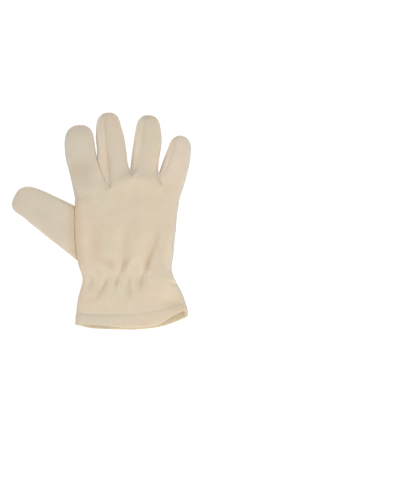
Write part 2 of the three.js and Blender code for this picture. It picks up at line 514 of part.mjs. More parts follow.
// One panel as a closed solid: its share of the skin, the same inside the cloth, and a wall along every free edge.
function panelGeometry(panel, insets) {
  const faces = skin.faces.filter((face) => face.panel === panel);
  const intoPanel = new Map();
  const freeEdges = new Map();
  for (const { corners } of faces) {
    const places = corners.map((corner) => skin.points[corner]);
    const centre = places.reduce((sum, place) => sum.add(place), new THREE.Vector3()).divideScalar(corners.length);
    corners.forEach((corner, index) => {
      const step = centre.clone().sub(skin.points[corner]).normalize();
      intoPanel.set(corner, (intoPanel.get(corner) ?? new THREE.Vector3()).add(step));
      const next = corners[(index + 1) % corners.length];
      if (!freeEdges.delete(`${next} ${corner}`)) freeEdges.set(`${corner} ${next}`, [corner, next]);
    });
  }
  const onEdge = new Set([...freeEdges.values()].flat());
  const outer = new Map();
  const inner = new Map();
  const positions = [];
  for (const [corner, direction] of intoPanel) {
    const place = skin.points[corner];
    const shift = new THREE.Vector3();
    if (onEdge.has(corner)) shift.copy(direction).projectOnPlane(insets[corner].clone().normalize()).setLength(SEAM_GAP / 2);
    shift.z = Math.max(shift.z, -place.z);
    outer.set(corner, positions.push(place.clone().add(shift)) - 1);
    inner.set(corner, positions.push(place.clone().add(shift).add(insets[corner])) - 1);
  }
  const indices = [];
  for (const { corners } of faces)
    for (const [a, b, c] of triangles(corners, (corner) => skin.points[corner])) {
      indices.push(outer.get(a), outer.get(b), outer.get(c));
      indices.push(inner.get(a), inner.get(c), inner.get(b));
    }
  for (const [from, to] of freeEdges.values()) {
    const [nearOuter, nearInner, farOuter, farInner] = [outer.get(from), inner.get(from), outer.get(to), inner.get(to)];
    // Both panels of a seam split its wall along the same diagonal.
    if (from < to) indices.push(nearOuter, farInner, farOuter, nearOuter, nearInner, farInner);
    else indices.push(nearOuter, nearInner, farOuter, nearInner, farInner, farOuter);
  }
  return new THREE.BufferGeometry().setFromPoints(positions).setIndex(indices);
}

function panelMesh(name, insets) {
  const mesh = new THREE.Mesh(panelGeometry(name, insets), FLEECE);
  mesh.name = name;
  return mesh;
}

buildSkin();
const insets = skinInsets(WALL);
const hemInsets = skinInsets(HEM_WALL);
const glove = new THREE.Group();
glove.add(
  ...["back_panel", "palm_panel", ...FOURCHETTES, "thumb"].map((name) => panelMesh(name, insets)),
  panelMesh("cuff_hem", hemInsets),
);

export default glove;
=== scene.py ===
"""A cream fleece glove for a right hand, lying on its palm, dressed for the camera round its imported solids.

The outer skin is one net of quads that follows the glove's seams. It is grown ring by ring from the mouth,
smoothed, creased and puckered, and then cut along its seams into the panels that the glove is sewn from.
"""

import logging
import math
from dataclasses import dataclass, field, fields
from enum import Enum, IntEnum
from typing import Any, Callable, Iterable, Sequence, TypeVar

import bmesh
import bpy
import numpy as np
from bmesh.types import BMEdge, BMesh, BMFace, BMVert
from bpy.types import Material, Mesh, Node, NodeSocket, Object
from mathutils import Matrix, Vector, kdtree, noise

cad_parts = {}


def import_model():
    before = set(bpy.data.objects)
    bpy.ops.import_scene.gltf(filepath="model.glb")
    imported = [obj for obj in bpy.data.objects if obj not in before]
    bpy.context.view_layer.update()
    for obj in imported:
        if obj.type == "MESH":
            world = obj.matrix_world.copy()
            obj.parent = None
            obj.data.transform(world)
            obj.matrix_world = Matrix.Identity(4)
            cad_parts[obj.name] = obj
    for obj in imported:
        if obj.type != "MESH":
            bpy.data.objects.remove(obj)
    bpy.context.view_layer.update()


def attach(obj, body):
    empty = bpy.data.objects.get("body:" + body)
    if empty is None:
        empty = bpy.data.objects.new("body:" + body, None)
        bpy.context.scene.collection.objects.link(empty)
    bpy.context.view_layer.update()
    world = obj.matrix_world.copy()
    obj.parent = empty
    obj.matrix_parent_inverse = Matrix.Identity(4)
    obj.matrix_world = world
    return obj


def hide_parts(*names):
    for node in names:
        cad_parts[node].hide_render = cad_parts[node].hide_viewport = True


log = logging.getLogger("glove")

MM = 0.001
Triple = tuple[float, float, float]
Colour = tuple[float, float, float, float]
Row = TypeVar("Row")
Item = TypeVar("Item")


def mix(start: Any, end: Any, share: Any) -> Any:
    """The value at a share of the way from start to end."""
    return start + (end - start) * share


def smooth(share: Any) -> Any:
    """A share, or an array of them, eased in and out and held between 0 and 1."""
    held = np.clip(share, 0.0, 1.0)
    return held * held * (3.0 - 2.0 * held)


def arch(share: Any) -> Any:
    """The height of a bow over a line: 0 at both of its ends and 1 in its middle."""
    return 4 * share * (1 - share)


def bell(distance: Any, width: float, power: int = 2) -> Any:
    """A swell that is 1 at no distance and fades out round the width, flatter on top for a higher power."""
    return np.exp(-((distance / width) ** power))


@dataclass(frozen=True)
class Ramp:
    """An eased rise from 0 at start to 1 at end, or a fall where end is the smaller."""

    start: float
    end: float

    def __call__(self, at: Any) -> Any:
        """The rise at a value, or at each of an array of them."""
        return smooth((at - self.start) / (self.end - self.start))


class Panel(IntEnum):
    """The cut pieces of the glove, by the material index that their faces carry in the net."""

    BACK = 0
    PALM = 1
    INDEX_MIDDLE = 2
    MIDDLE_RING = 3
    RING_LITTLE = 4
    THUMB = 5
    HEM = 6


STRIPS = (Panel.INDEX_MIDDLE, Panel.MIDDLE_RING, Panel.RING_LITTLE)


class Side(Enum):
    """The two faces of the glove as it lies."""

    BACK = "back"
    PALM = "palm"


@dataclass(frozen=True)
class Station:
    """One row of points round the hand, in millimetres.

    left and right are its two edges seen from above and height its height. thumb_side is how high its
    widest line is on the thumb's side, as a share of that. left_drop and right_drop are how far below that
    line its side seams run, in degrees. back_bow and palm_bow are how far its middle lies towards the
    fingers on the two faces, and corner_lift is how far the back curves up towards them at the little
    finger's side. edge is how much of the mouth's own line it follows, and crotch how much of the fingers'
    steps. web_dip is how far its palm dips beside the thumb, and rows the number of rows of the net up to
    the next station.
    """

    name: str
    left_x: float
    left_y: float
    right_x: float
    right_y: float
    height: float
    thumb_side: float
    left_drop: float
    right_drop: float
    back_bow: float
    palm_bow: float
    corner_lift: float
    edge: float
    crotch: float
    web_dip: float
    rows: int


@dataclass(frozen=True)
class Edge:
    """How far back and palm run off the straight line across the mouth, at one step from its left end."""

    back: float
    palm: float


@dataclass(frozen=True)
class Parting:
    """Where two fingers part, as shares of the width at the cuff and the knuckles, and how far beyond."""

    at_cuff: float
    at_knuckle: float
    beyond: float


@dataclass(frozen=True)
class Section:
    """One section of a finger, in millimetres: its two edges seen from above and its height."""

    left_x: float
    left_y: float
    right_x: float
    right_y: float
    height: float

    @property
    def middle(self) -> Vector:
        """Its middle seen from above."""
        return Vector((self.left_x + self.right_x, self.left_y + self.right_y)) / 2

    @property
    def half(self) -> Vector:
        """The way from its middle to its right edge."""
        return Vector((self.right_x - self.left_x, self.right_y - self.left_y)) / 2


@dataclass(frozen=True)
class Finger:
    """A finger: its sections from root to tip, its tip, and its seams as angles round the section.

    The angles are in degrees: 0 is the right edge, 90 the top and 180 the left edge. The back panel runs
    from back_right to back_left and the palm panel from palm_left to palm_right. A side's own seam is
    halfway between them, or at left_seam or right_seam.
    """

    name: str
    tip: tuple[float, float]
    tip_height: float
    back_right: float
    back_left: float
    palm_left: float
    palm_right: float
    sections: tuple[Section, ...]
    left_seam: float | None = None
    right_seam: float | None = None


@dataclass(frozen=True)
class Fold:
    """A fold of the back: a line from start to end that bows sideways, in millimetres.

    width is its half width and lift its height, below zero for a valley. peak is where along the line it is
    strongest. lip is the height of a ridge beside it, on the right of the line's way, and lip_away and
    lip_width are that ridge's distance and half width, in half widths of the fold.
    """

    name: str
    start: tuple[float, float]
    end: tuple[float, float]
    bow: float
    width: float
    lift: float
    peak: float
    lip: float = 0.0
    lip_away: float = 2.1
    lip_width: float = 1.3

    def along_and_aside(self, points: np.ndarray) -> tuple[np.ndarray, np.ndarray]:
        """Where points lie beside the fold's line.

        Args:
            points: the points, in millimetres.

        Returns:
            The share of the line at which each one lies, and how far to the left of the line it is.
        """
        start, end = np.array(self.start, float), np.array(self.end, float)
        along = end - start
        length = float(np.hypot(*along))
        away = points[:, :2] - start
        share = away @ along / length**2
        aside = (away[:, 1] * along[0] - away[:, 0] * along[1]) / length
        return share, aside - self.bow * arch(np.clip(share, 0, 1))

    def heights(self, points: np.ndarray) -> np.ndarray:
        """How far the fold lifts points.

        Args:
            points: the points, in millimetres.

        Returns:
            Their lifts, below zero where the fold sinks them.
        """
        share, aside = self.along_and_aside(points)
        strength = np.where(share < self.peak, Ramp(0.0, self.peak)(share), Ramp(1.0, self.peak)(share))
        valley = self.lift * bell(aside, self.width)
        lip = self.lip * bell(aside + self.lip_away * self.width, self.lip_width * self.width)
        return np.where((share > 0) & (share < 1), strength * (valley + lip), 0.0)


HAND = (
    Station("mouth", -30.0, -120.0, 99.3, -108.5, 16.0, 0.46, 0.0, 4.0, 0.0, 0.0, 0.0, 1.0, 0.0, 0.0, 2),
    Station("hem_line", -29.1, -105.8, 96.7, -97.0, 16.0, 0.46, 0.0, 4.0, -5.5, -8.0, 3.0, 0.0, 0.0, 0.0, 2),
    Station("cuff", -26.8, -89.0, 92.9, -83.5, 15.0, 0.46, 0.0, 4.0, -5.0, -6.0, 0.0, 0.0, 0.0, 0.0, 2),
    Station("flare", -23.5, -77.0, 85.7, -70.5, 13.5, 0.46, 0.0, 4.0, -2.5, -3.0, 0.0, 0.0, 0.0, 0.0, 2),
    Station("gather", -20.8, -67.0, 80.4, -57.5, 12.0, 0.46, 0.0, 4.0, -1.0, -1.0, 0.0, 0.0, 0.0, 0.0, 2),
    Station("heel", -24.2, -56.0, 80.8, -47.0, 13.2, 0.5, 0.0, 4.0, 0.0, 0.0, 0.0, 0.0, 0.0, 0.0, 2),
    Station("thumb_low", -27.0, -45.6, 82.2, -37.0, 14.5, 0.6, 0.0, 4.0, 0.0, 0.0, 0.0, 0.0, 0.04, 0.0, 4),
    Station("palm", -30.2, -16.2, 84.5, -12.5, 15.0, 0.74, 0.0, 4.0, 0.0, 0.0, 0.0, 0.0, 0.3, 3.0, 4),
    Station("thumb_top", -30.3, 15.4, 87.3, 14.0, 14.5, 0.66, 0.0, 4.0, 0.0, 0.0, 0.0, 0.0, 0.82, 11.0, 2),
    Station("knuckle", -29.4, 25.0, 89.4, 27.0, 14.0, 0.46, 5.0, 4.0, 0.0, 0.0, 0.0, 0.0, 1.0, 0.0, 0),
)

MOUTH_EDGE = (
    Edge(0.0, 0.0),
    Edge(-0.4, -5.0),
    Edge(-3.0, -6.9),
    Edge(-5.8, -9.4),
    Edge(-8.6, -10.7),
    Edge(-8.4, -11.3),
    Edge(-6.6, -10.5),
    Edge(1.6, -7.0),
    Edge(6.6, -2.4),
)

PARTINGS = (
    Parting(0.0, 0.0, 0.0),
    Parting(0.26, 0.327, 12.2),
    Parting(0.5, 0.528, 28.4),
    Parting(0.75, 0.801, 23.8),
    Parting(1.0, 1.0, 0.0),
)

INDEX = Finger(
    "index", (-24.7, 110.0), 11.0, -4.0, 148.0, 212.0, 318.0,
    (
        Section(-29.4, 25.0, 8.0, 37.8, 14.0),
        Section(-35.0, 50.5, 1.0, 52.6, 13.2),
        Section(-40.2, 68.6, -4.3, 69.8, 13.4),
        Section(-41.7, 82.6, -7.1, 83.4, 13.0),
        Section(-41.3, 94.0, -9.2, 94.4, 12.4),
    ),
    left_seam=196.0,
)  # fmt: skip
MIDDLE = Finger(
    "middle", (7.4, 124.0), 11.0, -4.0, 98.0, 204.0, 318.0,
    (
        Section(8.3, 37.8, 32.0, 54.4, 14.0),
        Section(-5.6, 60.4, 29.7, 64.4, 13.2),
        Section(-5.4, 78.4, 27.6, 80.6, 13.4),
        Section(-6.5, 94.3, 25.5, 94.8, 12.8),
        Section(-6.4, 107.8, 21.7, 108.2, 12.2),
    ),
    left_seam=188.0,
)  # fmt: skip
RING = Finger(
    "ring", (53.6, 121.2), 11.0, -4.0, 104.0, 204.0, 318.0,
    (
        Section(32.3, 54.4, 64.6, 50.4, 14.0),
        Section(33.5, 64.6, 64.1, 63.0, 13.2),
        Section(35.8, 81.4, 66.8, 79.6, 13.0),
        Section(37.8, 95.2, 68.4, 93.8, 12.6),
        Section(39.5, 107.4, 66.9, 106.6, 12.0),
    ),
    left_seam=188.0,
)  # fmt: skip
LITTLE = Finger(
    "little", (92.0, 97.4), 10.0, 32.0, 112.0, 204.0, 328.0,
    (
        Section(64.8, 50.4, 89.4, 27.0, 14.0),
        Section(67.2, 58.4, 96.3, 46.4, 13.0),
        Section(70.6, 69.0, 99.8, 61.2, 12.8),
        Section(73.8, 77.0, 101.4, 70.4, 12.2),
        Section(76.6, 83.4, 101.6, 77.6, 11.4),
    ),
    left_seam=190.0,
    right_seam=-16.0,
)  # fmt: skip
THUMB = Finger(
    "thumb", (-99.2, 27.8), 10.0, 30.0, 150.0, 212.0, 328.0,
    (
        Section(-27.0, -45.6, -30.3, 15.4, 13.0),
        Section(-42.4, -33.0, -40.6, 22.0, 13.0),
        Section(-63.1, -17.0, -55.6, 29.4, 13.0),
        Section(-80.8, -2.7, -69.0, 35.6, 12.4),
        Section(-93.1, 7.6, -78.6, 38.9, 11.6),
    ),
)  # fmt: skip
FINGERS = (INDEX, MIDDLE, RING, LITTLE)

FOLDS = (
    Fold("above_1", (-12, -33), (16, -55), 1.0, 5.0, -3.2, 0.72),
    Fold("above_2", (27.5, -34), (20.5, -64), 0.0, 2.3, -2.8, 0.62),
    Fold("above_2_ridge", (42, -26), (26.5, -66), 1.0, 4.2, 2.0, 0.7),
    Fold("above_2_crest", (36, -34), (27.0, -61), 0.0, 2.2, 1.0, 0.6),
    Fold("above_3", (71.5, 6), (49.5, -60), -1.6, 4.2, -2.7, 0.72),
    Fold("above_3_end", (61, -22), (48.5, -62), -1.6, 2.4, -3.2, 0.62),
    Fold("above_3_shelf", (76, -10), (70, -62), 0.0, 6.0, 1.6, 0.6),
    Fold("above_4", (66, -14), (59, -60), 0.0, 6.0, -1.3, 0.6),
    Fold("below_1", (-11, -63), (-15, -84), 0.0, 2.6, -1.0, 0.35),
    Fold("below_2", (9.5, -57), (-11, -97), 0.5, 2.8, -2.2, 0.45),
    Fold("below_3", (20, -57), (12.5, -84), 0.0, 2.6, -2.3, 0.42),
    Fold("below_4", (29, -60), (34.0, -90), -1.0, 2.8, -3.1, 0.5),
    Fold("below_5", (47, -54), (41.0, -84), 0.0, 2.8, -2.7, 0.45),
    Fold("below_2_ridge", (16, -66), (2, -100), 0.0, 4.5, 1.1, 0.4),
    Fold("below_5_ridge", (54, -60), (52, -92), 0.0, 5.0, 1.0, 0.4),
    Fold("gather_spot_1", (52, -63), (56, -52), 0.0, 2.0, 1.8, 0.5),
    Fold("gather_spot_2", (-14, -62), (-12, -67), 0.0, 1.8, -0.8, 0.5),
    Fold("cuff_dent", (54, -85), (99, -98), 0.0, 6.5, -2.2, 0.6),
    Fold("cuff_bulge", (40, -57), (98, -75), 0.0, 14.0, 5.8, 0.62),
    Fold("cuff_side", (95, -50), (100, -112), 0.0, 20.0, -3.0, 0.4),
    Fold("cuff_nick", (92, -75), (73, -69.0), 0.0, 1.9, -3.0, 0.4, 0.6),
    Fold("thumb_ridge", (-17.5, 14), (-15.0, -50), 0.0, 4.0, 1.3, 0.5),
    Fold("palm_hollow", (-7, 16), (-7, -54), 0.0, 9.0, -2.6, 0.6),
    Fold("middle_ridge_high", (4, 40), (6, 4), 0.0, 6.0, 1.2, 0.5),
    Fold("middle_ridge", (13, 20), (17, -48), 0.0, 8.0, 2.1, 0.6),
    Fold("ring_hollow", (33, 24), (23, -56), 0.0, 7.0, -2.5, 0.66),
    Fold("ring_ridge", (51, 24), (42, -46), 0.0, 6.5, 1.6, 0.6),
    Fold("edge_hollow", (64, 22), (60, -46), 0.0, 5.5, -1.9, 0.5),
    Fold("edge_ridge", (78, 22), (75, -44), 0.0, 5.0, 1.4, 0.55),
    Fold("knuckle_ridge", (0, 34), (76, 34), 13.0, 7.0, 3.2, 0.5),
    Fold("knuckle_foot", (10, 22), (76, 20), 3.0, 8.0, -1.0, 0.5),
    Fold("knuckle_ridge_index", (-36, 40), (6, 38), 0.0, 8.0, 1.4, 0.5),
    Fold("index_bend", (-46, 64), (-2, 62), 0.0, 11.0, -2.4, 0.5),
    Fold("index_bulge", (-38, 96), (-12, 92), 0.0, 8.0, 0.8, 0.5),
    Fold("middle_seam", (9.0, 100), (7.4, 40), 0.0, 4.4, -1.6, 0.6),
    Fold("middle_seam_low", (9.0, 90), (7.6, 40), 0.0, 2.4, -1.1, 0.6),
    Fold("ring_seam", (49.5, 117), (43.5, 70), 0.0, 3.0, -0.6, 0.35),
    Fold("middle_edge", (-1.5, 50), (-2.0, 118), 0.0, 3.2, 1.5, 0.5),
    Fold("ring_edge", (35.5, 52), (44.0, 118), 0.0, 3.2, 1.6, 0.5),
    Fold("little_edge", (66.5, 44), (80.0, 92), 0.0, 3.4, 1.8, 0.5),
    Fold("crease_middle_ring", (31.0, 57.0), (39.5, 50.0), 0.0, 1.4, -1.0, 0.35),
    Fold("crotch_lip", (33.5, 45.5), (44.0, 59.0), 0.0, 1.8, 1.4, 0.5),
    Fold("crease_ring_little", (62.5, 55), (70.5, 38), 0.0, 1.8, -2.8, 0.5),
    Fold("thumb_dip", (-84, 20), (-58, 2), 0.0, 6.0, -0.9, 0.5),
    Fold("thumb_dip_2", (-52, 10), (-34, -18), 0.0, 6.0, -1.1, 0.5),
)


def between(rows: Sequence[Row], place: float) -> Row:
    """A row at a place between the rows of a table, on a Catmull-Rom curve through them.

    Args:
        rows: the table; only its decimal columns are blended.
        place: a row number with its share of the way to the next row.

    Returns:
        A row of the same kind.
    """
    last = len(rows) - 1
    index = min(int(place), last - 1)
    share = place - index
    before, start, end, after = (rows[min(max(index + step, 0), last)] for step in (-1, 0, 1, 2))
    values = {}
    for column in fields(start):
        value = getattr(start, column.name)
        if isinstance(value, float):
            slope_start = (getattr(end, column.name) - getattr(before, column.name)) / 2
            slope_end = (getattr(after, column.name) - value) / 2
            rise = getattr(end, column.name) - value
            square = 3 * rise - 2 * slope_start - slope_end
            cubic = slope_start + slope_end - 2 * rise
            value += share * (slope_start + share * (square + share * cubic))
        values[column.name] = value
    return type(start)(**values)


def walk(first: Item, neighbours: Callable[[Item], Iterable[Item]]) -> list[Item]:
    """Walks round a closed ring.

    Args:
        first: the item to start from.
        neighbours: gives the items beside an item.

    Returns:
        The ring's items in order.
    """
    ordered = [first]
    known = {first}
    while True:
        following = [item for item in neighbours(ordered[-1]) if item not in known]
        if not following:
            return ordered
        ordered.append(following[0])
        known.add(following[0])


def mesh_from(shape: BMesh, name: str) -> Mesh:
    """Makes a mesh of a bmesh.

    Args:
        shape: the bmesh, which is freed.
        name: the mesh's name.

    Returns:
        The mesh.
    """
    mesh = bpy.data.meshes.new(name)
    shape.to_mesh(mesh)
    shape.free()
    return mesh


def placed(name: str, data: Any) -> Object:
    """Puts a new object into the scene.

    Args:
        name: its name.
        data: its mesh, light or camera.

    Returns:
        The object.
    """
    made = bpy.data.objects.new(name, data)
    bpy.context.scene.collection.objects.link(made)
    return made


def modified(mesh: Mesh, kind: str, settings: dict[str, Any]) -> Mesh:
    """A mesh with one modifier applied.

    Args:
        mesh: the mesh, which is removed.
        kind: the modifier's type.
        settings: its properties.

    Returns:
        The new mesh.
    """
    carrier = placed("carrier", mesh)
    modifier = carrier.modifiers.new("change", kind)
    for name, value in settings.items():
        setattr(modifier, name, value)
    evaluated = carrier.evaluated_get(bpy.context.evaluated_depsgraph_get())
    changed = bpy.data.meshes.new_from_object(evaluated)
    bpy.data.objects.remove(carrier)
    bpy.data.meshes.remove(mesh)
    return changed


def noise_at(places: np.ndarray) -> np.ndarray:
    """Smooth noise between about -1 and 1 at each of the places."""
    return np.array([noise.noise(place) for place in places])


def seam_edges(mesh: Mesh) -> list[tuple[set[int], list[int]]]:
    """The edges between different panels.

    Args:
        mesh: the skin with its panel tags.

    Returns:
        For each one the panels that it parts and its two vertices.
    """
    tagged = bmesh.new()
    tagged.from_mesh(mesh)
    found = []
    for edge in tagged.edges:
        panels = {face.material_index for face in edge.link_faces}
        if len(panels) > 1:
            found.append((panels, [vert.index for vert in edge.verts]))
    tagged.free()
    return found


@dataclass
class GloveNet:
    """The outer skin as a coarse net of quads, grown ring by ring from the mouth to the fingertips.

    Lengths are in millimetres and angles in degrees. A squareness or flatness is 2 for an ellipse and more
    for a squarer section. A share is one of a section's height or half width, and a ramp named across runs
    over shares of its full width.
    """

    back_columns: int = 8
    front_columns: int = 4
    side_columns: int = 4
    thumb_front_columns: int = 2
    waist: float = 0.46
    waist_across: Ramp = Ramp(0.0, 1 / 3)
    corner_across: Ramp = Ramp(0.55, 1.0)
    sole_sink: float = 0.7
    hand_squareness: float = 3.4
    finger_squareness: float = 2.3
    finger_flatness: float = 5.0
    sole_squareness: float = 4.5
    tip_squareness: float = 2.3
    thumb_tip_squareness: float = 2.6
    tip_height_share: float = 0.45
    tip_point_share: float = 0.61
    hand_back_share: float = 0.95
    web_fingers: float = 1.4
    crotch_web: float = 2.4
    finger_blend_rings: int = 3
    thumb_blend_rings: int = 4
    rings_per_section: int = 2
    dome_angles: tuple[float, ...] = (28.0, 54.0, 76.0)
    hem_fold: float = 1.7
    hem_angles: tuple[float, ...] = (180.0, 135.0, 90.0, 45.0, 0.0)
    mesh: BMesh = field(default_factory=bmesh.new)

    @property
    def back_total(self) -> int:
        """Columns across the back of the hand."""
        return len(FINGERS) * self.back_columns

    @property
    def front_total(self) -> int:
        """Columns across the palm."""
        return len(FINGERS) * self.front_columns

    @property
    def ring_total(self) -> int:
        """Columns round the hand."""
        return self.back_total + self.front_total + 2 * self.side_columns

    @property
    def left_seam(self) -> int:
        """The column of the seam on the thumb's side."""
        return self.ring_total - self.side_columns // 2

    @property
    def right_seam(self) -> int:
        """The column of the seam on the little finger's side."""
        return self.back_total + self.side_columns // 2

    @property
    def thumb_side_columns(self) -> int:
        """Columns of the thumb's root on either of its sides."""
        return self.side_columns // 2 + self.thumb_front_columns

    @staticmethod
    def row_of(name: str) -> int:
        """The net's row, counted from the mouth, at a station of the hand."""
        names = [station.name for station in HAND]
        return sum(station.rows for station in HAND[: names.index(name)])

    @staticmethod
    def place_of(row: int) -> float:
        """A net row's place in the table of stations.

        Args:
            row: the row's number from the mouth on.

        Returns:
            The station's number with the share of the way to the next one.
        """
        index, left = 0, row
        while index < len(HAND) - 1 and left >= HAND[index].rows:
            left -= HAND[index].rows
            index += 1
        return index + (left / HAND[index].rows if HAND[index].rows else 0.0)

    def section_height(
        self, across: float, height: float, squareness: float, side: Side, waist: float
    ) -> float:
        """Height of a section's skin over the surface.

        Args:
            across: the place across it, from -1 at its left edge to 1 at its right edge.
            height: the section's full height.
            squareness: how square its upper side is.
            side: its upper or its under side.
            waist: where its widest line is, as a share of the height.

        Returns:
            The height, in the unit of the section's own.
        """
        power = squareness if side is Side.BACK else self.sole_squareness
        middle = waist * height
        bulge = max(0.0, 1.0 - abs(across) ** power) ** (1.0 / power)
        if side is Side.BACK:
            return middle + (height - middle) * bulge
        return max(0.0, middle - (middle + self.sole_sink) * bulge)

    def hand_point(self, station: Station, fingers_across: float, across: float, side: Side) -> Vector:
        """A point of the hand's skin.

        Args:
            station: the row it is in.
            fingers_across: how many fingers' widths it is across the hand, for its share of their steps.
            across: its place across the section, from -1 to 1.
            side: whether it is on the back or on the palm.

        Returns:
            The point, in metres.
        """
        share = (across + 1) / 2
        on_back = side is Side.BACK
        x = mix(station.left_x, station.right_x, share)
        y = mix(station.left_y, station.right_y, share)
        y += (station.back_bow if on_back else station.palm_bow) * arch(share)
        edge = between(MOUTH_EDGE, share * (len(MOUTH_EDGE) - 1))
        y += station.edge * (edge.back if on_back else edge.palm)
        y += station.crotch * between(PARTINGS, fingers_across).beyond
        if on_back:
            y += station.corner_lift * float(self.corner_across(share))
        else:
            y -= station.web_dip * math.sin(math.pi * min(max(fingers_across / self.web_fingers, 0.0), 1.0))
        waist = mix(station.thumb_side, self.waist, float(self.waist_across(share)))
        z = self.section_height(across, station.height, self.hand_squareness, side, waist)
        return Vector((x, y, z)) * MM

    def column_place(self, station: Station, fingers_across: float) -> float:
        """Where a column of the back or the palm lies across the section.

        Args:
            station: the row it is looked at in.
            fingers_across: how many fingers' widths it is across the hand.

        Returns:
            The place, from -1 to 1.
        """
        parting = between(PARTINGS, fingers_across)
        share = mix(parting.at_cuff, parting.at_knuckle, station.crotch)
        return self.hand_back_share * (2 * share - 1)

    def side_points(self, station: Station, right: bool) -> list[Vector]:
        """The points round one side of the hand, without the two end columns.

        Args:
            station: the row that they are in.
            right: whether it is the little finger's side, and not the thumb's.

        Returns:
            The points from the upper side down, in metres.
        """
        corner = math.acos(self.hand_back_share ** (self.hand_squareness / 2))
        seam = -math.radians(station.right_drop if right else station.left_drop)
        half = self.side_columns / 2
        points = []
        for step in range(1, self.side_columns):
            angle = mix(corner, seam, step / half) if step < half else mix(seam, -corner, step / half - 1)
            across = math.cos(angle) ** (2 / self.hand_squareness)
            where = (station, float(len(FINGERS)) if right else 0.0, across if right else -across)
            upper, lower = self.hand_point(*where, Side.BACK), self.hand_point(*where, Side.PALM)
            point = upper if angle >= 0 else lower
            point.y = mix(lower.y, upper.y, float(smooth((angle / corner + 1) / 2)))
            points.append(point)
        return points

    def ring_points(self, row: int) -> list[Vector]:
        """The points of one ring of the hand.

        Args:
            row: the ring's row in the net.

        Returns:
            The points of the back from the left, the right side, the palm and the left side, in metres.
        """
        station = between(HAND, self.place_of(row))

        def line(columns: Iterable[int], per_finger: int, side: Side) -> list[Vector]:
            """The points of some columns of the back or the palm."""
            places = [column / per_finger for column in columns]
            return [self.hand_point(station, at, self.column_place(station, at), side) for at in places]

        back = line(range(self.back_total + 1), self.back_columns, Side.BACK)
        palm = line(range(self.front_total, -1, -1), self.front_columns, Side.PALM)
        return [*back, *self.side_points(station, True), *palm, *self.side_points(station, False)[::-1]]

    def loop_edges(self, loop: Sequence[BMVert]) -> list[BMEdge]:
        """The edges of a closed loop of vertices, each one after its vertex."""
        return [self.mesh.edges.get(pair) for pair in zip(loop, [*loop[1:], loop[0]])]

    def grow(
        self,
        loop: list[BMVert],
        places: Sequence[Vector],
        panel_of: Callable[[int], Panel],
    ) -> list[BMVert]:
        """Extrudes a closed loop of the net to new places.

        Args:
            loop: the loop's vertices in order.
            places: where the new vertices go, in the same order.
            panel_of: the panel of the quad that follows a column.

        Returns:
            The new loop.
        """
        edges = self.loop_edges(loop)
        grown = bmesh.ops.extrude_edge_only(self.mesh, edges=edges)["geom"]
        new_verts = {item for item in grown if isinstance(item, BMVert)}
        new_faces = {item for item in grown if isinstance(item, BMFace)}
        next_loop = []
        for vert, place in zip(loop, places):
            others = (edge.other_vert(vert) for edge in vert.link_edges)
            twin = next(other for other in others if other in new_verts)
            twin.co = place
            next_loop.append(twin)
        for column, edge in enumerate(edges):
            for face in new_faces.intersection(edge.link_faces):
                face.material_index = int(panel_of(column))
        return next_loop

    def hand_panel(self, row: int, column: int) -> Panel:
        """The panel of a quad of the hand.

        Args:
            row: the quad's lower row.
            column: the column that it follows.

        Returns:
            The panel.
        """
        if row < self.row_of("hem_line"):
            return Panel.HEM
        return Panel.BACK if column < self.right_seam or column >= self.left_seam else Panel.PALM

    @staticmethod
    def inward(ring: Sequence[Vector], place: Vector, depth: float) -> Vector:
        """A place of a ring, moved into the glove.

        Args:
            ring: the ring's points.
            place: one of them.
            depth: how far it moves, in millimetres.

        Returns:
            The new place, in metres.
        """
        low, high = min(point.x for point in ring), max(point.x for point in ring)
        top = max(point.z for point in ring)
        across = (2 * place.x - low - high) / (high - low)
        return place - Vector((across, 0, 2 * place.z / top - 1)) * depth * MM

    def hem_rings(self) -> list[list[Vector]]:
        """The rings of the turned hem, in order of growth.

        Returns:
            Its inner wall from the hem line down, the fold and the mouth's own ring, in metres.
        """
        rows = [self.ring_points(row) for row in range(self.row_of("hem_line") + 1)]
        rings = [[self.inward(ring, place, 2 * self.hem_fold) for place in ring] for ring in rows[:0:-1]]
        for degrees in self.hem_angles:
            back = self.hem_fold * (1 - math.sin(math.radians(degrees)))
            depth = self.hem_fold * (1 - math.cos(math.radians(degrees)))
            fold = []
            for place, beyond in zip(rows[0], rows[1]):
                fold.append(self.inward(rows[0], place, depth) + (beyond - place).normalized() * back * MM)
            rings.append(fold)
        return rings

    def grow_hand(self) -> list[list[BMVert]]:
        """Grows the hand from the hem's inner edge round the mouth to the knuckles, with the thumb's hole.

        Returns:
            The rings of the hand from the mouth on.
        """
        hem = self.hem_rings()
        made = bmesh.ops.create_circle(self.mesh, segments=self.ring_total, radius=1.0, cap_ends=False)
        ring = walk(made["verts"][0], lambda vert: [edge.other_vert(vert) for edge in vert.link_edges])
        for vert, place in zip(ring, hem[0]):
            vert.co = place
        for places in hem[1:]:
            ring = self.grow(ring, places, lambda column: Panel.HEM)
        rings = [ring]
        for row in range(self.row_of("knuckle")):
            places = self.ring_points(row + 1)
            rings.append(self.grow(rings[-1], places, lambda column: self.hand_panel(row, column)))
        hole = []
        for row in range(self.row_of("thumb_low"), self.row_of("thumb_top")):
            for column in range(self.left_seam - self.thumb_side_columns, self.left_seam):
                lower, upper = rings[row][column : column + 2], rings[row + 1][column : column + 2]
                hole.append(self.mesh.faces.get([*lower, *upper[::-1]]))
        bmesh.ops.delete(self.mesh, geom=hole, context="FACES")
        return rings

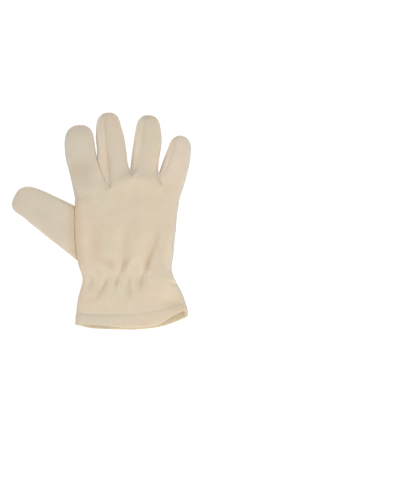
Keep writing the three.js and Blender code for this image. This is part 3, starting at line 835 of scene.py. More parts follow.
    def section_points(
        self, angles: Sequence[float], middle: Vector, half: Vector, height: float
    ) -> list[Vector]:
        """The points of one section of a finger.

        Args:
            angles: the angle of each column.
            middle: the section's middle seen from above, in millimetres.
            half: the way from there to its right edge.
            height: its height.

        Returns:
            The points, in metres.
        """
        points = []
        for angle in angles:
            across = math.copysign(abs(math.cos(angle)) ** (2 / self.finger_squareness), math.cos(angle))
            side = Side.BACK if math.sin(angle) >= 0 else Side.PALM
            z = self.section_height(across, height, self.finger_flatness, side, self.waist)
            points.append(Vector((*(middle + half * across), z)) * MM)
        return points

    def finger_rings(
        self, finger: Finger, angles: Sequence[float], tip_squareness: float
    ) -> list[list[Vector]]:
        """Every ring of a finger beyond its root, the dome of its tip included.

        Args:
            finger: the finger.
            angles: the angle of each of its columns.
            tip_squareness: how square its tip is seen from above.

        Returns:
            The points of each ring, in metres.
        """
        rings = []
        spans = len(finger.sections) - 1
        for row in range(1, spans * self.rings_per_section + 1):
            section = between(finger.sections, row / self.rings_per_section)
            rings.append(self.section_points(angles, section.middle, section.half, section.height))
        last = finger.sections[-1]
        reach = Vector(finger.tip) - last.middle
        for degrees in self.dome_angles:
            width = math.cos(math.radians(degrees)) ** (2 / tip_squareness)
            forward = math.sin(math.radians(degrees)) ** (2 / tip_squareness)
            height = mix(last.height, finger.tip_height, forward) * mix(self.tip_height_share, 1.0, width)
            middle, half = last.middle + reach * forward, last.half * width
            rings.append(self.section_points(angles, middle, half, height))
        return rings

    @staticmethod
    def column_angles(finger: Finger, backs: int, sides: int, fronts: int) -> list[float]:
        """Angles of a finger's columns: over its back, down its right side, under its front, up its left.

        Args:
            finger: the finger.
            backs: how many columns it has over its back.
            sides: how many on either side.
            fronts: how many under its front.

        Returns:
            The angles, in radians.
        """
        left_seam = finger.left_seam or (finger.back_left + finger.palm_left) / 2
        right_seam = finger.right_seam or (finger.back_right + finger.palm_right - 360) / 2
        corners = (
            finger.back_left,
            finger.back_right,
            right_seam,
            finger.palm_right - 360,
            finger.palm_left - 360,
            left_seam - 360,
            finger.back_left - 360,
        )
        half = sides // 2
        angles = []
        for leg, count in enumerate((backs, half, half, fronts, half, half)):
            for step in range(count):
                angles.append(math.radians(mix(corners[leg], corners[leg + 1], step / count)))
        return angles

    def grow_finger(
        self,
        finger: Finger,
        root: list[BMVert],
        rings: list[list[Vector]],
        blend_rings: int,
        panel_of: Callable[[int, int], Panel],
    ) -> None:
        """Grows a finger out of a loop of the net and closes its tip.

        Args:
            finger: the finger.
            root: the loop that it grows from.
            rings: the places of its rings.
            blend_rings: how many rings it takes to leave the root's own shape.
            panel_of: the panel of the quad after a column, on a ring.
        """
        log.debug("growing the finger %s", finger.name)
        base = [vert.co.copy() for vert in root]
        loop = root
        for number, ring in enumerate(rings):
            share = float(smooth((number + 1) / blend_rings))
            places = [start.lerp(place, share) for start, place in zip(base, ring)]
            loop = self.grow(loop, places, lambda column: panel_of(column, number))
        rim = self.loop_edges(loop)
        cap = bmesh.ops.contextual_create(self.mesh, geom=rim)["faces"]
        poked = bmesh.ops.poke(self.mesh, faces=cap)
        point_height = self.waist * finger.tip_height * self.tip_point_share
        poked["verts"][0].co = Vector((*finger.tip, point_height)) * MM
        for column, edge in enumerate(rim):
            for face in set(poked["faces"]).intersection(edge.link_faces):
                face.material_index = int(panel_of(column, len(rings)))

    def crotch_chain(
        self, top: BMVert, bottom: BMVert, finger: Finger, next_finger: Finger
    ) -> list[BMVert]:
        """The line down between two fingers at their crotch, as the bow of a web.

        Args:
            top: the vertex of the back that it starts from.
            bottom: the vertex of the palm that it ends at.
            finger: the finger on its left.
            next_finger: the finger on its right.

        Returns:
            Its vertices from top to bottom.
        """
        right, left = finger.sections[1], next_finger.sections[1]
        beyond = Vector(((right.right_x + left.left_x) / 2, (right.right_y + left.left_y) / 2, 0)) * MM
        way = (beyond - Vector((top.co.x, top.co.y, 0))).normalized()
        chain = [top]
        for step in range(1, self.side_columns):
            share = step / self.side_columns
            grown = bmesh.ops.extrude_vert_indiv(self.mesh, verts=[chain[-1]])["verts"][0]
            grown.co = top.co.lerp(bottom.co, share) + way * self.crotch_web * arch(share) * MM
            chain.append(grown)
        bmesh.ops.contextual_create(self.mesh, geom=[chain[-1], bottom])
        return [*chain, bottom]

    def finger_panel(self, number: int, column: int, on_tip: bool) -> Panel:
        """The panel of a quad of a finger.

        Args:
            number: the finger's number from the thumb's side.
            column: the column that the quad follows.
            on_tip: whether it lies beyond the ends of the strips.

        Returns:
            The panel.
        """
        front_start = self.back_columns + self.side_columns
        left_start = front_start + self.front_columns
        if column < self.back_columns:
            return Panel.BACK
        if front_start <= column < left_start:
            return Panel.PALM
        on_right = column < front_start
        strips = (None, *STRIPS, None)
        strip = strips[number + 1] if on_right else strips[number]
        if strip is not None and not on_tip:
            return strip
        from_back = column - self.back_columns if on_right else left_start + self.side_columns - 1 - column
        return Panel.BACK if from_back < self.side_columns // 2 else Panel.PALM

    def grow_fingers(self, ring: list[BMVert]) -> None:
        """Grows the four fingers out of the hand.

        Args:
            ring: the ring at the knuckles.
        """
        palm_start = self.back_total + self.side_columns
        palm_line = ring[palm_start : palm_start + self.front_total + 1][::-1]
        chains = [[*ring[palm_start + self.front_total :], ring[0]][::-1]]
        for number in range(1, len(FINGERS)):
            top, bottom = ring[number * self.back_columns], palm_line[number * self.front_columns]
            chains.append(self.crotch_chain(top, bottom, FINGERS[number - 1], FINGERS[number]))
        chains.append(ring[self.back_total : palm_start + 1])
        for number, finger in enumerate(FINGERS):
            root = ring[number * self.back_columns : (number + 1) * self.back_columns]
            root = root + chains[number + 1][:-1]
            root += palm_line[number * self.front_columns + 1 : (number + 1) * self.front_columns + 1][::-1]
            root += chains[number][1:][::-1]
            angles = self.column_angles(finger, self.back_columns, self.side_columns, self.front_columns)
            rings = self.finger_rings(finger, angles, self.tip_squareness)
            tip_ring = len(rings) - 1

            def panel_of(column: int, at: int) -> Panel:
                """The panel of a quad of this finger."""
                return self.finger_panel(number, column, at >= tip_ring)

            self.grow_finger(finger, root, rings, self.finger_blend_rings, panel_of)

    def grow_thumb(self, rings: list[list[BMVert]]) -> None:
        """Grows the thumb out of its hole.

        Args:
            rings: the rings of the hand.
        """
        low, top = self.row_of("thumb_low"), self.row_of("thumb_top")
        inner = self.left_seam - self.thumb_side_columns
        root = [rings[row][self.left_seam] for row in range(low, top)]
        root += [rings[top][column] for column in range(self.left_seam, inner, -1)]
        root += [rings[row][inner] for row in range(top, low, -1)]
        root += [rings[low][column] for column in range(inner, self.left_seam)]
        angles = self.column_angles(THUMB, top - low, self.thumb_side_columns, top - low)
        places = self.finger_rings(THUMB, angles, self.thumb_tip_squareness)
        self.grow_finger(THUMB, root, places, self.thumb_blend_rings, lambda column, at: Panel.THUMB)

    def build(self) -> BMesh:
        """Grows the whole net.

        Returns:
            The net, its faces outwards and tagged with their panels.
        """
        rings = self.grow_hand()
        self.grow_fingers(rings[-1])
        self.grow_thumb(rings)
        bmesh.ops.recalc_face_normals(self.mesh, faces=self.mesh.faces)
        for face in self.mesh.faces:
            face.smooth = True
        return self.mesh


def smoothed_mesh(net: BMesh, levels: int) -> Mesh:
    """The net as a mesh with its quads subdivided and smoothed.

    Args:
        net: the net, which is freed.
        levels: how many times each quad is split in four.

    Returns:
        The smooth mesh, with the net's panel tags.
    """
    coarse = bpy.data.meshes.new("net")
    for _ in Panel:
        coarse.materials.append(None)
    net.to_mesh(coarse)
    net.free()
    return modified(coarse, "SUBSURF", {"levels": levels, "render_levels": levels})


@dataclass(frozen=True)
class Skin:
    """The points of the smooth skin, in millimetres, their normals, and which of them a panel reaches."""

    points: np.ndarray
    normals: np.ndarray
    on: dict[Panel, np.ndarray]

    @classmethod
    def read(cls, mesh: Mesh) -> "Skin":
        """Reads a mesh.

        Args:
            mesh: the skin's mesh with its panel tags.

        Returns:
            Its points.
        """
        count = len(mesh.vertices)
        points = np.empty(count * 3)
        normals = np.empty(count * 3)
        mesh.vertices.foreach_get("co", points)
        mesh.vertex_normals.foreach_get("vector", normals)
        on = {panel: np.zeros(count, bool) for panel in Panel}
        for face in mesh.polygons:
            on[Panel(face.material_index)][list(face.vertices)] = True
        return cls(points.reshape(-1, 3) / MM, normals.reshape(-1, 3), on)


@dataclass(frozen=True)
class PaintedLightAndTones:
    """Painted light and shade, and cooler tones of the cloth, as attributes of the skin that its material
    reads.

    A ramp named across runs over x and one named up over y, both in millimetres. One named turn runs over
    how a face is turned.
    """

    lowest: float = -4.0
    # painted shade, warm and dark, in folds, along seams, beside the thumb's seam and at the index finger's
    # root
    fold_crease: float = 0.35
    fold_full: float = 3.0
    seam_crease: float = 0.3
    seam_full: float = 1.6
    thumb_crease: float = 0.6
    thumb_crease_reach: float = 8.0
    root_crease: float = 0.2
    root_crease_up: Ramp = Ramp(85.0, 50.0)
    # the index finger's root, darkened by painted shade
    root_up: Ramp = Ramp(14.0, 28.0)
    root_across: Ramp = Ramp(-4.0, -18.0)
    root_cool: float = 0.95
    # cooler tones up the fingers, strongest on the index, fading at the tips; the little finger painted
    # paler, as painted light
    finger_up: Ramp = Ramp(30.0, 75.0)
    index_cool: float = 1.0
    middle_cool: float = 0.5
    little_cool: float = -1.0
    middle_across: Ramp = Ramp(-6.0, 6.0)
    little_across: Ramp = Ramp(52.0, 80.0)
    tip_fade: float = 0.7
    tip_up: Ramp = Ramp(96.0, 110.0)
    tip_across: Ramp = Ramp(-4.0, 2.0)
    # painted light: the strips between the fingers paler, palest on their steep sides and their webs
    strip_up: Ramp = Ramp(58.0, 80.0)
    strip_face: float = -0.5
    strip_face_turn: Ramp = Ramp(0.02, -0.1)
    strip_side_low: float = -0.6
    strip_side_high: float = -3.2
    strip_side_turn: Ramp = Ramp(-0.4, -0.85)
    web_turn: Ramp = Ramp(0.3, 0.7)
    web: float = -4.0
    # a cooler tone on the thumb, and painted shade on the hem's face towards the left
    thumb: float = 0.8
    hem_across: Ramp = Ramp(60.0, -10.0)
    mouth_middle: tuple[float, float] = (35.0, 8.0)
    mouth_half: tuple[float, float] = (65.0, 8.0)
    mouth_shade: float = 0.55
    mouth_closed: float = 0.4
    mouth_closed_across: tuple[Ramp, Ramp] = (Ramp(2.0, 18.0), Ramp(74.0, 58.0))
    lining_turn: Ramp = Ramp(0.0, -0.4)
    edge_turn: Ramp = Ramp(-0.1, -0.65)
    face_shade: tuple[float, float] = (0.08, 0.12)
    face_across: Ramp = Ramp(-10.0, 50.0)
    # painted grey sheen where the cloth turns down at the hand's outer sides
    rim_turn: Ramp = Ramp(0.35, 0.8)
    rim_right_across: Ramp = Ramp(60.0, 72.0)
    rim_left_across: Ramp = Ramp(-20.0, -26.0)
    rim_left_up: Ramp = Ramp(14.0, 24.0)

    def paint(
        self,
        mesh: Mesh,
        skin: Skin,
        relief: np.ndarray,
        seams: np.ndarray,
        gaps: np.ndarray,
    ) -> None:
        """Stores the painted light and shade and the cooler tones on the mesh.

        Args:
            mesh: the skin's mesh.
            skin: its points before they were moved.
            relief: how far the folds and gathers lift each point.
            seams: how far the seams lift it.
            gaps: how far it is from the thumb's seam.
        """
        # painted shade where folds and seams sink the cloth, beside the thumb's seam and at the index
        # finger's root
        crease = self.fold_crease * np.clip(-relief / self.fold_full, 0, 1)
        crease += self.seam_crease * np.clip(-seams / self.seam_full, 0, 1)
        crease += self.thumb_crease * bell(gaps, self.thumb_crease_reach, power=4)
        crease += self.root_crease * self.index_root(skin) * self.root_crease_up(skin.points[:, 1])
        # painted shade in creases and on the hem, painted light on the strips, painted grey sheen at the
        # sides
        tones = {
            "crease": crease,
            "cool": self.cool(skin),
            "shade": self.shade(skin),
            "rim": self.rim(skin),
        }
        for name, values in tones.items():
            layer = mesh.attributes.new(name, "FLOAT", "POINT")
            layer.data.foreach_set("value", np.clip(values, self.lowest, 1.0).astype(np.float32))

    def index_root(self, skin: Skin) -> np.ndarray:
        """How much each point belongs to the index finger and its root, which painted shade darkens."""
        return self.root_up(skin.points[:, 1]) * self.root_across(skin.points[:, 0]) * ~skin.on[Panel.THUMB]

    def cool(self, skin: Skin) -> np.ndarray:
        """How cool, dark or pale the cloth is painted on fingers, thumb and hem.

        The fingers and the thumb get a cooler tone. Painted shade darkens the index finger's root and the
        hem's face towards the left. Painted light makes the little finger paler, and the strips between the
        fingers where they lean towards the thumb, palest on their steep sides and their webs.

        Args:
            skin: the skin.

        Returns:
            The tone of each point, below zero where it is painted paler and not cooler.
        """
        x, y, _ = skin.points.T
        turn_x, turn_y, _ = skin.normals.T
        fingers = mix(self.index_cool, self.middle_cool, self.middle_across(x))
        fingers = mix(fingers, self.little_cool, self.little_across(x))
        fingers = fingers * (1 - self.tip_fade * self.tip_up(y) * self.tip_across(x))
        tone = mix(self.finger_up(y) * fingers, self.root_cool, self.index_root(skin))
        high = self.strip_up(y)
        strip = mix(tone, self.strip_face, high * self.strip_face_turn(turn_x))
        side = mix(self.strip_side_low, self.strip_side_high, high)
        strip = mix(strip, side, self.strip_side_turn(turn_x))
        strip = mix(strip, self.web, self.web_turn(turn_y) * (1 - high))
        on_strip = np.logical_or.reduce([skin.on[panel] for panel in STRIPS])
        tone = np.where(on_strip, strip, tone)
        tone = np.where(skin.on[Panel.HEM], self.hem_across(x), tone)
        return np.where(skin.on[Panel.THUMB], self.thumb, tone)

    def shade(self, skin: Skin) -> np.ndarray:
        """How shaded the hem is: its lining, its edge towards the mouth and, a little, its face.

        Where the two edges of the mouth lie on each other, in the middle, its edge is less shaded.

        Args:
            skin: the skin.

        Returns:
            The shade of each point, from 0 to 1.
        """
        x, _, z = skin.points.T
        turn_x, turn_y, turn_z = skin.normals.T
        outwards = turn_x * (x - self.mouth_middle[0]) / self.mouth_half[0]
        outwards += turn_z * (z - self.mouth_middle[1]) / self.mouth_half[1]
        from_left, from_right = self.mouth_closed_across
        depth = self.mouth_shade - self.mouth_closed * from_left(x) * from_right(x)
        turned = np.maximum(self.lining_turn(outwards), self.edge_turn(turn_y))
        return np.maximum(depth * turned, mix(*self.face_shade, self.face_across(x))) * skin.on[Panel.HEM]

    def rim(self, skin: Skin) -> np.ndarray:
        """How much painted grey sheen lies where the cloth turns down at the hand's outer sides.

        Args:
            skin: the skin.

        Returns:
            The greyness of each point, from 0 to 1.
        """
        x, y, _ = skin.points.T
        outer = self.rim_right_across(x) + self.rim_left_across(x) * self.rim_left_up(y)
        plain = skin.on[Panel.BACK] | skin.on[Panel.PALM]
        return self.rim_turn(np.abs(skin.normals[:, 0])) * outer * plain


@dataclass(frozen=True)
class ClothShaper:
    """Works the folds, gathers and seams of the cloth into the smooth skin, all lengths in millimetres.

    A ramp named across runs over x, one named up over z, and one named turn over how far a face looks up.
    The other ramps run over shares of the contact's line, where the index and the middle finger press on
    each other.
    """

    fold_turn: Ramp = Ramp(0.05, 0.55)
    gather_turn: Ramp = Ramp(0.1, 0.6)
    lining_height: float = 7.0
    seam_depth: float = 0.5
    seam_width: float = 2.0
    seam_fade: float = 0.75
    seam_fade_across: Ramp = Ramp(15.0, 27.0)
    seam_fade_up: Ramp = Ramp(4.0, 7.0)
    tip_reach: float = 30.0
    thumb_seam_depth: float = 0.7
    hem_seam_depth: float = 0.3
    hem_seam_width: float = 2.4
    hem_seam_fade: float = 0.95
    hem_seam_across: Ramp = Ramp(5.0, 40.0)
    shoulder: float = 0.1
    shoulder_gap: float = 3.2
    shoulder_width: float = 1.8
    pucker_share: float = 0.35
    pucker_pitch: float = 5.0
    thumb_up: Ramp = Ramp(5.0, 9.0)
    thumb_drop: float = 0.8
    thumb_drop_reach: float = 9.0
    overhang: float = 0.2
    overhang_gap: float = 3.2
    overhang_width: float = 2.6
    overhang_right: float = -15.0
    gather_depth: float = 0.25
    gather_pitch: float = 9.0
    gather_reach: float = 13.0
    gather_spread: float = 0.012
    gather_wobble: float = 0.9
    wobble_scale: Triple = (0.06, 0.03, 0.0)
    wobble_shift: Triple = (0.0, 0.0, 3.0)
    groove_depth: float = 0.15
    groove_width: float = 1.8
    groove_gap: float = 0.6
    groove_gap_width: float = 2.5
    contact: Fold = Fold("contact", (8.6, 34.0), (-8.2, 84.0), -0.8, 3.2, 11.1, 0.62)
    contact_start: Ramp = Ramp(-0.05, 0.1)
    contact_up: Ramp = Ramp(4.0, 6.0)
    contact_end: tuple[float, float] = (8.0, 40.5)
    contact_end_reach: float = 5.0
    contact_end_rounds: int = 16
    pressed_start: Ramp = Ramp(-0.2, 0.0)
    pressed_end: Ramp = Ramp(1.12, 1.0)
    pressed_width: float = 5.0
    side_growth: float = 0.75
    thumb_growth: float = 1.0
    waves: tuple[tuple[float, float], ...] = ((34.0, 0.55), (15.0, 0.3), (6.0, 0.12), (2.6, 0.08))
    wave_shift: Triple = (11.3, 5.1, 7.7)

    def shape(self, mesh: Mesh) -> None:
        """Moves the points of the skin and stores its painted light and shade and its cooler tones.

        Args:
            mesh: the smooth skin with its panel tags.
        """
        skin = Skin.read(mesh)
        points, facing = skin.points, skin.normals[:, 2]
        lining = skin.on[Panel.HEM] & (points[:, 2] > self.lining_height)
        folds = self.folds(points) * self.fold_turn(np.where(lining, np.abs(facing), facing))
        gathers = self.gathers(points) * self.gather_turn(np.abs(facing))
        gaps = self.seam_gaps(mesh, points)
        seams = self.seams(points, gaps)
        moved = points + skin.normals * (seams + self.wave_heights(points) + gathers)[:, None]
        moved[:, 2] += folds
        moved[:, 2] += self.contact_rise(moved)
        moved += self.thumb_crevice(skin, gaps["thumb"]) + self.growth(skin)
        moved[:, 2] = np.maximum(moved[:, 2], 0.0)
        mesh.vertices.foreach_set("co", (moved * MM).ravel())
        PaintedLightAndTones().paint(mesh, skin, folds + gathers, seams, gaps["thumb"])
        self.even_out(mesh)
        mesh.update()

    def even_out(self, mesh: Mesh) -> None:
        """Evens out the cloth where the line between the index and the middle finger ends at the knuckles.

        Args:
            mesh: the skin.
        """
        net = bmesh.new()
        net.from_mesh(mesh)
        middle, reach = Vector(self.contact_end) * MM, self.contact_end_reach * MM
        near = [vert for vert in net.verts if vert.co.z > reach and (vert.co.xy - middle).length < reach]
        axes = {"use_axis_x": True, "use_axis_y": True, "use_axis_z": True}
        for _ in range(self.contact_end_rounds):
            bmesh.ops.smooth_vert(net, verts=near, factor=0.5, **axes)
        net.to_mesh(mesh)
        net.free()

    def growth(self, skin: Skin) -> np.ndarray:
        """Gives the sides back the width that smoothing the net takes, apart from where two fingers press.

        Args:
            skin: the skin.

        Returns:
            How far each point moves.
        """
        share, aside = self.contact.along_and_aside(skin.points)
        pressed = self.pressed_start(share) * self.pressed_end(share)
        pressed *= bell(aside, self.pressed_width, power=4)
        shift = np.zeros_like(skin.points)
        shift[:, 0] = self.side_growth * skin.normals[:, 0] * (1 - pressed)
        shift[:, 1] = self.thumb_growth * np.minimum(skin.normals[:, 1], 0.0) * skin.on[Panel.THUMB]
        return shift

    def contact_rise(self, points: np.ndarray) -> np.ndarray:
        """How far the sides of the index and the middle finger are pushed up where they press together.

        Args:
            points: the points of the skin.

        Returns:
            The rise of each one.
        """
        share, aside = self.contact.along_and_aside(points)
        strength = self.contact_start(share) * Ramp(1.0, self.contact.peak)(share)
        near = bell(aside, self.contact.width) * self.contact_up(points[:, 2])
        return np.maximum(self.contact.lift - points[:, 2], 0.0) * near * strength

    @staticmethod
    def folds(points: np.ndarray) -> np.ndarray:
        """The folds of the back.

        Args:
            points: the points of the skin.

        Returns:
            How far all the folds together lift each one.
        """
        total = np.zeros(len(points))
        for fold in FOLDS:
            log.debug("working in the fold %s", fold.name)
            total += fold.heights(points)
        return total

    @staticmethod
    def gather_line(x: np.ndarray) -> np.ndarray:
        """The line where the elastic draws the cloth in.

        Args:
            x: places across the hand.

        Returns:
            How far along the hand the line is at each.
        """
        gather = HAND[[station.name for station in HAND].index("gather")]
        share = (x - gather.left_x) / (gather.right_x - gather.left_x)
        return mix(gather.left_y, gather.right_y, share) + gather.back_bow * arch(np.clip(share, 0, 1))

    def gathers(self, points: np.ndarray) -> np.ndarray:
        """Small puckers that run out from the drawn-in line, and the line itself.

        Args:
            points: the points of the skin.

        Returns:
            How far they lift each one.
        """
        aside = points[:, 1] - self.gather_line(points[:, 0])
        wobble = self.gather_wobble * noise_at(points * self.wobble_scale + self.wobble_shift)
        phase = points[:, 0] / self.gather_pitch + wobble + self.gather_spread * np.abs(aside)
        fade = bell(aside, self.gather_reach) * (1 - self.groove_gap * bell(aside, self.groove_gap_width))
        ripple = self.gather_depth * np.cos(2 * np.pi * phase) * fade
        return ripple - self.groove_depth * bell(aside, self.groove_width)

    @staticmethod
    def seam_gaps(mesh: Mesh, points: np.ndarray) -> dict[str, np.ndarray]:
        """How far the points are from the seams.

        Args:
            mesh: the skin with its panel tags.
            points: its points, in millimetres.

        Returns:
            The distance of each point from the nearest seam of a kind: thumb, hem and finger.
        """
        edges: dict[str, list[np.ndarray]] = {"thumb": [], "hem": [], "finger": []}
        for panels, verts in seam_edges(mesh):
            kind = "thumb" if Panel.THUMB in panels else "hem" if Panel.HEM in panels else "finger"
            first, second = (points[index] for index in verts)
            edges[kind] += [first, second, (first + second) / 2]
        gaps = {}
        for kind, places in edges.items():
            tree = kdtree.KDTree(len(places))
            for number, place in enumerate(places):
                tree.insert(place, number)
            tree.balance()
            gaps[kind] = np.array([tree.find(point)[2] for point in points])
        return gaps

    def seams(self, points: np.ndarray, gaps: dict[str, np.ndarray]) -> np.ndarray:
        """How the seams draw the cloth in, with a slight shoulder beside them and puckers along them.

        Args:
            points: the points of the skin.
            gaps: their distances from the seams.

        Returns:
            How far each point is lifted, below zero where it is drawn in.
        """
        x, y, z = points.T
        ripple = noise_at(points / self.pucker_pitch)
        held = 1 + self.pucker_share * ripple
        finger = self.seam_depth * held * bell(gaps["finger"], self.seam_width)
        for tip_x, tip_y in (row.tip for row in (*FINGERS, THUMB)):
            finger *= smooth(np.hypot(x - tip_x, y - tip_y) / self.tip_reach)
        finger *= 1 - self.seam_fade * self.seam_fade_across(x) * self.seam_fade_up(z)
        thumb = self.thumb_seam_depth * held * bell(gaps["thumb"], self.seam_width, power=1)
        hem = self.hem_seam_depth * held * bell(gaps["hem"], self.hem_seam_width)
        hem *= 1 - self.hem_seam_fade * self.hem_seam_across(x)
        nearest = np.minimum(gaps["finger"], gaps["hem"])
        shoulder = self.shoulder * (1 + ripple) * bell(nearest - self.shoulder_gap, self.shoulder_width)
        return shoulder - finger - thumb - hem

    def thumb_crevice(self, skin: Skin, gaps: np.ndarray) -> np.ndarray:
        """How the thumb drops where it comes out from under the hand, and how the hand bulges over it.

        Args:
            skin: the skin.
            gaps: how far its points are from the thumb's seam.

        Returns:
            How far each point moves.
        """
        x, _, z = skin.points.T
        on_thumb = skin.on[Panel.THUMB]
        shift = np.zeros_like(skin.points)
        shift[:, 2] = -self.thumb_drop * bell(gaps, self.thumb_drop_reach) * on_thumb
        over = self.overhang * bell(gaps - self.overhang_gap, self.overhang_width)
        shift[:, 0] = -over * ~on_thumb * (x < self.overhang_right)
        return shift * self.thumb_up(z)[:, None]

    def wave_heights(self, points: np.ndarray) -> np.ndarray:
        """The soft unevenness of the cloth, in several sizes of waves down to the tufts of its nap.

        Args:
            points: the points of the skin.

        Returns:
            How far it lifts each one.
        """
        total = np.zeros(len(points))
        for number, (length, height) in enumerate(self.waves):
            total += height * noise_at(points / length + np.array(self.wave_shift) * number)
        return total


def finished_piece(name: str, mesh: Mesh, finish: Material) -> Object:
    """Makes a piece of the glove of a mesh, without any point below the surface that the glove lies on.

    Args:
        name: the piece's name.
        mesh: its mesh.
        finish: the material that it is made of.

    Returns:
        The piece, riding on the glove's one body.
    """
    for vert in mesh.vertices:
        vert.co.z = max(vert.co.z, 0.0)
    mesh.name = name
    mesh.materials.clear()
    mesh.materials.append(finish)
    piece = placed(name, mesh)
    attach(piece, "root")
    return piece


@dataclass(frozen=True)
class SewnPiece:
    """One cut piece of the glove, as a shell of cloth that stands for its node of the frame."""

    name: str
    node: str
    panel: Panel
    thickness: float
    crisp_angle: float = 50.0

    def build(self, skin: Mesh, finish: Material) -> Object:
        """Cuts the piece out of the skin and gives it its thickness.

        Args:
            skin: the shaped skin with its panel tags.
            finish: the material that the piece is made of.

        Returns:
            The finished object.
        """
        cut = bmesh.new()
        cut.from_mesh(skin)
        others = [face for face in cut.faces if face.material_index != int(self.panel)]
        bmesh.ops.delete(cut, geom=others, context="FACES")
        for face in cut.faces:
            face.material_index = 0
            face.smooth = True
        piece = finished_piece(self.name, self.thickened(cut), finish)
        piece.data.set_sharp_from_angle(angle=math.radians(self.crisp_angle))
        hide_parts(self.node)
        return piece

    def thickened(self, cut: BMesh) -> Mesh:
        """The cut piece as a mesh that is as thick as its cloth, inwards."""
        settings = {"thickness": self.thickness * MM, "offset": -1.0}
        return modified(mesh_from(cut, self.name), "SOLIDIFY", settings)


@dataclass(frozen=True)
class HemPiece(SewnPiece):
    """The turned hem, whose skin is already folded round the mouth and only closed at its stitched line."""

    def thickened(self, cut: BMesh) -> Mesh:
        """The cut piece with its two open rings joined.

        Args:
            cut: the piece as it was cut out, which is freed.

        Returns:
            Its mesh.
        """
        bmesh.ops.bridge_loops(cut, edges=[edge for edge in cut.edges if edge.is_boundary])
        bmesh.ops.recalc_face_normals(cut, faces=cut.faces)
        return mesh_from(cut, self.name)


@dataclass(frozen=True)
class Stitching:
    """The topstitching that holds the hem, as a row of short threads, all lengths in millimetres."""

    name: str = "hem_stitching"
    pitch: float = 3.4
    length: float = 2.4
    thread: float = 0.55
    sunk: float = 0.05
    segments: int = 6

    def build(self, skin: Mesh, finish: Material) -> Object:
        """Lays the threads along the edge between the hem and the panels.

        Args:
            skin: the shaped skin with its panel tags.
            finish: the material of the thread.

        Returns:
            The finished object.
        """
        places, outwards = self.path(skin)
        steps = np.linalg.norm(np.diff(places, axis=0, append=places[:1]), axis=1)
        ends = np.concatenate(([0.0], np.cumsum(steps)))
        count = round(float(ends[-1]) / (self.pitch * MM))
        threads = bmesh.new()
        for number in range(count):
            at = ends[-1] * number / count
            index = int(np.searchsorted(ends, at, side="right")) - 1
            following = (index + 1) % len(places)
            share = (at - ends[index]) / steps[index]
            along = Vector(places[following] - places[index]).normalized()
            up = Vector(outwards[index]).normalized()
            middle = Vector(mix(places[index], places[following], share)) - up * self.sunk * MM
            across = up.cross(along).normalized()
            frame = Matrix((along * self.length, across * self.thread, across.cross(along) * -self.thread))
            turn = frame.transposed().to_4x4() @ Matrix.Rotation(math.pi / 2, 4, "Y")
            bmesh.ops.create_uvsphere(
                threads,
                u_segments=self.segments,
                v_segments=self.segments - 1,
                radius=MM / 2,
                matrix=Matrix.Translation(middle) @ turn,
            )
        bmesh.ops.recalc_face_normals(threads, faces=threads.faces)
        for face in threads.faces:
            face.smooth = True
        return finished_piece(self.name, mesh_from(threads, self.name), finish)

    @staticmethod
    def path(skin: Mesh) -> tuple[np.ndarray, np.ndarray]:
        """The closed line between the hem and the panels.

        Args:
            skin: the shaped skin with its panel tags.

        Returns:
            The line's points in order, and the outward way at each.
        """
        links: dict[int, list[int]] = {}
        for panels, (first, second) in seam_edges(skin):
            if Panel.HEM in panels:
                links.setdefault(first, []).append(second)
                links.setdefault(second, []).append(first)

        def neighbours(index: int) -> list[int]:
            """A point's neighbours on the line, from left to right, so that the way round is fixed."""
            return sorted(links[index], key=lambda other: skin.vertices[other].co.x)

        ordered = walk(min(links), neighbours)
        places = np.array([skin.vertices[index].co for index in ordered])
        outwards = np.array([skin.vertex_normals[index].vector for index in ordered])
        return places, outwards


@dataclass(frozen=True)
class Value:
    """A shader socket that Python's operators add Math nodes to."""

    graph: "Graph"
    socket: NodeSocket

    def _math(self, operation: str, first: Any, second: Any) -> "Value":
        """A Math node of two values."""
        made = self.graph.node("ShaderNodeMath", {"operation": operation}, {0: first, 1: second})
        return Value(self.graph, made.outputs[0])

    def __add__(self, other: Any) -> "Value":
        """This plus other."""
        return self._math("ADD", self, other)

    __radd__ = __add__

    def __sub__(self, other: Any) -> "Value":
        """This minus other."""
        return self._math("SUBTRACT", self, other)

    def __rsub__(self, other: Any) -> "Value":
        """Other minus this."""
        return self._math("SUBTRACT", other, self)

    def __mul__(self, other: Any) -> "Value":
        """This times other."""
        return self._math("MULTIPLY", self, other)

    __rmul__ = __mul__


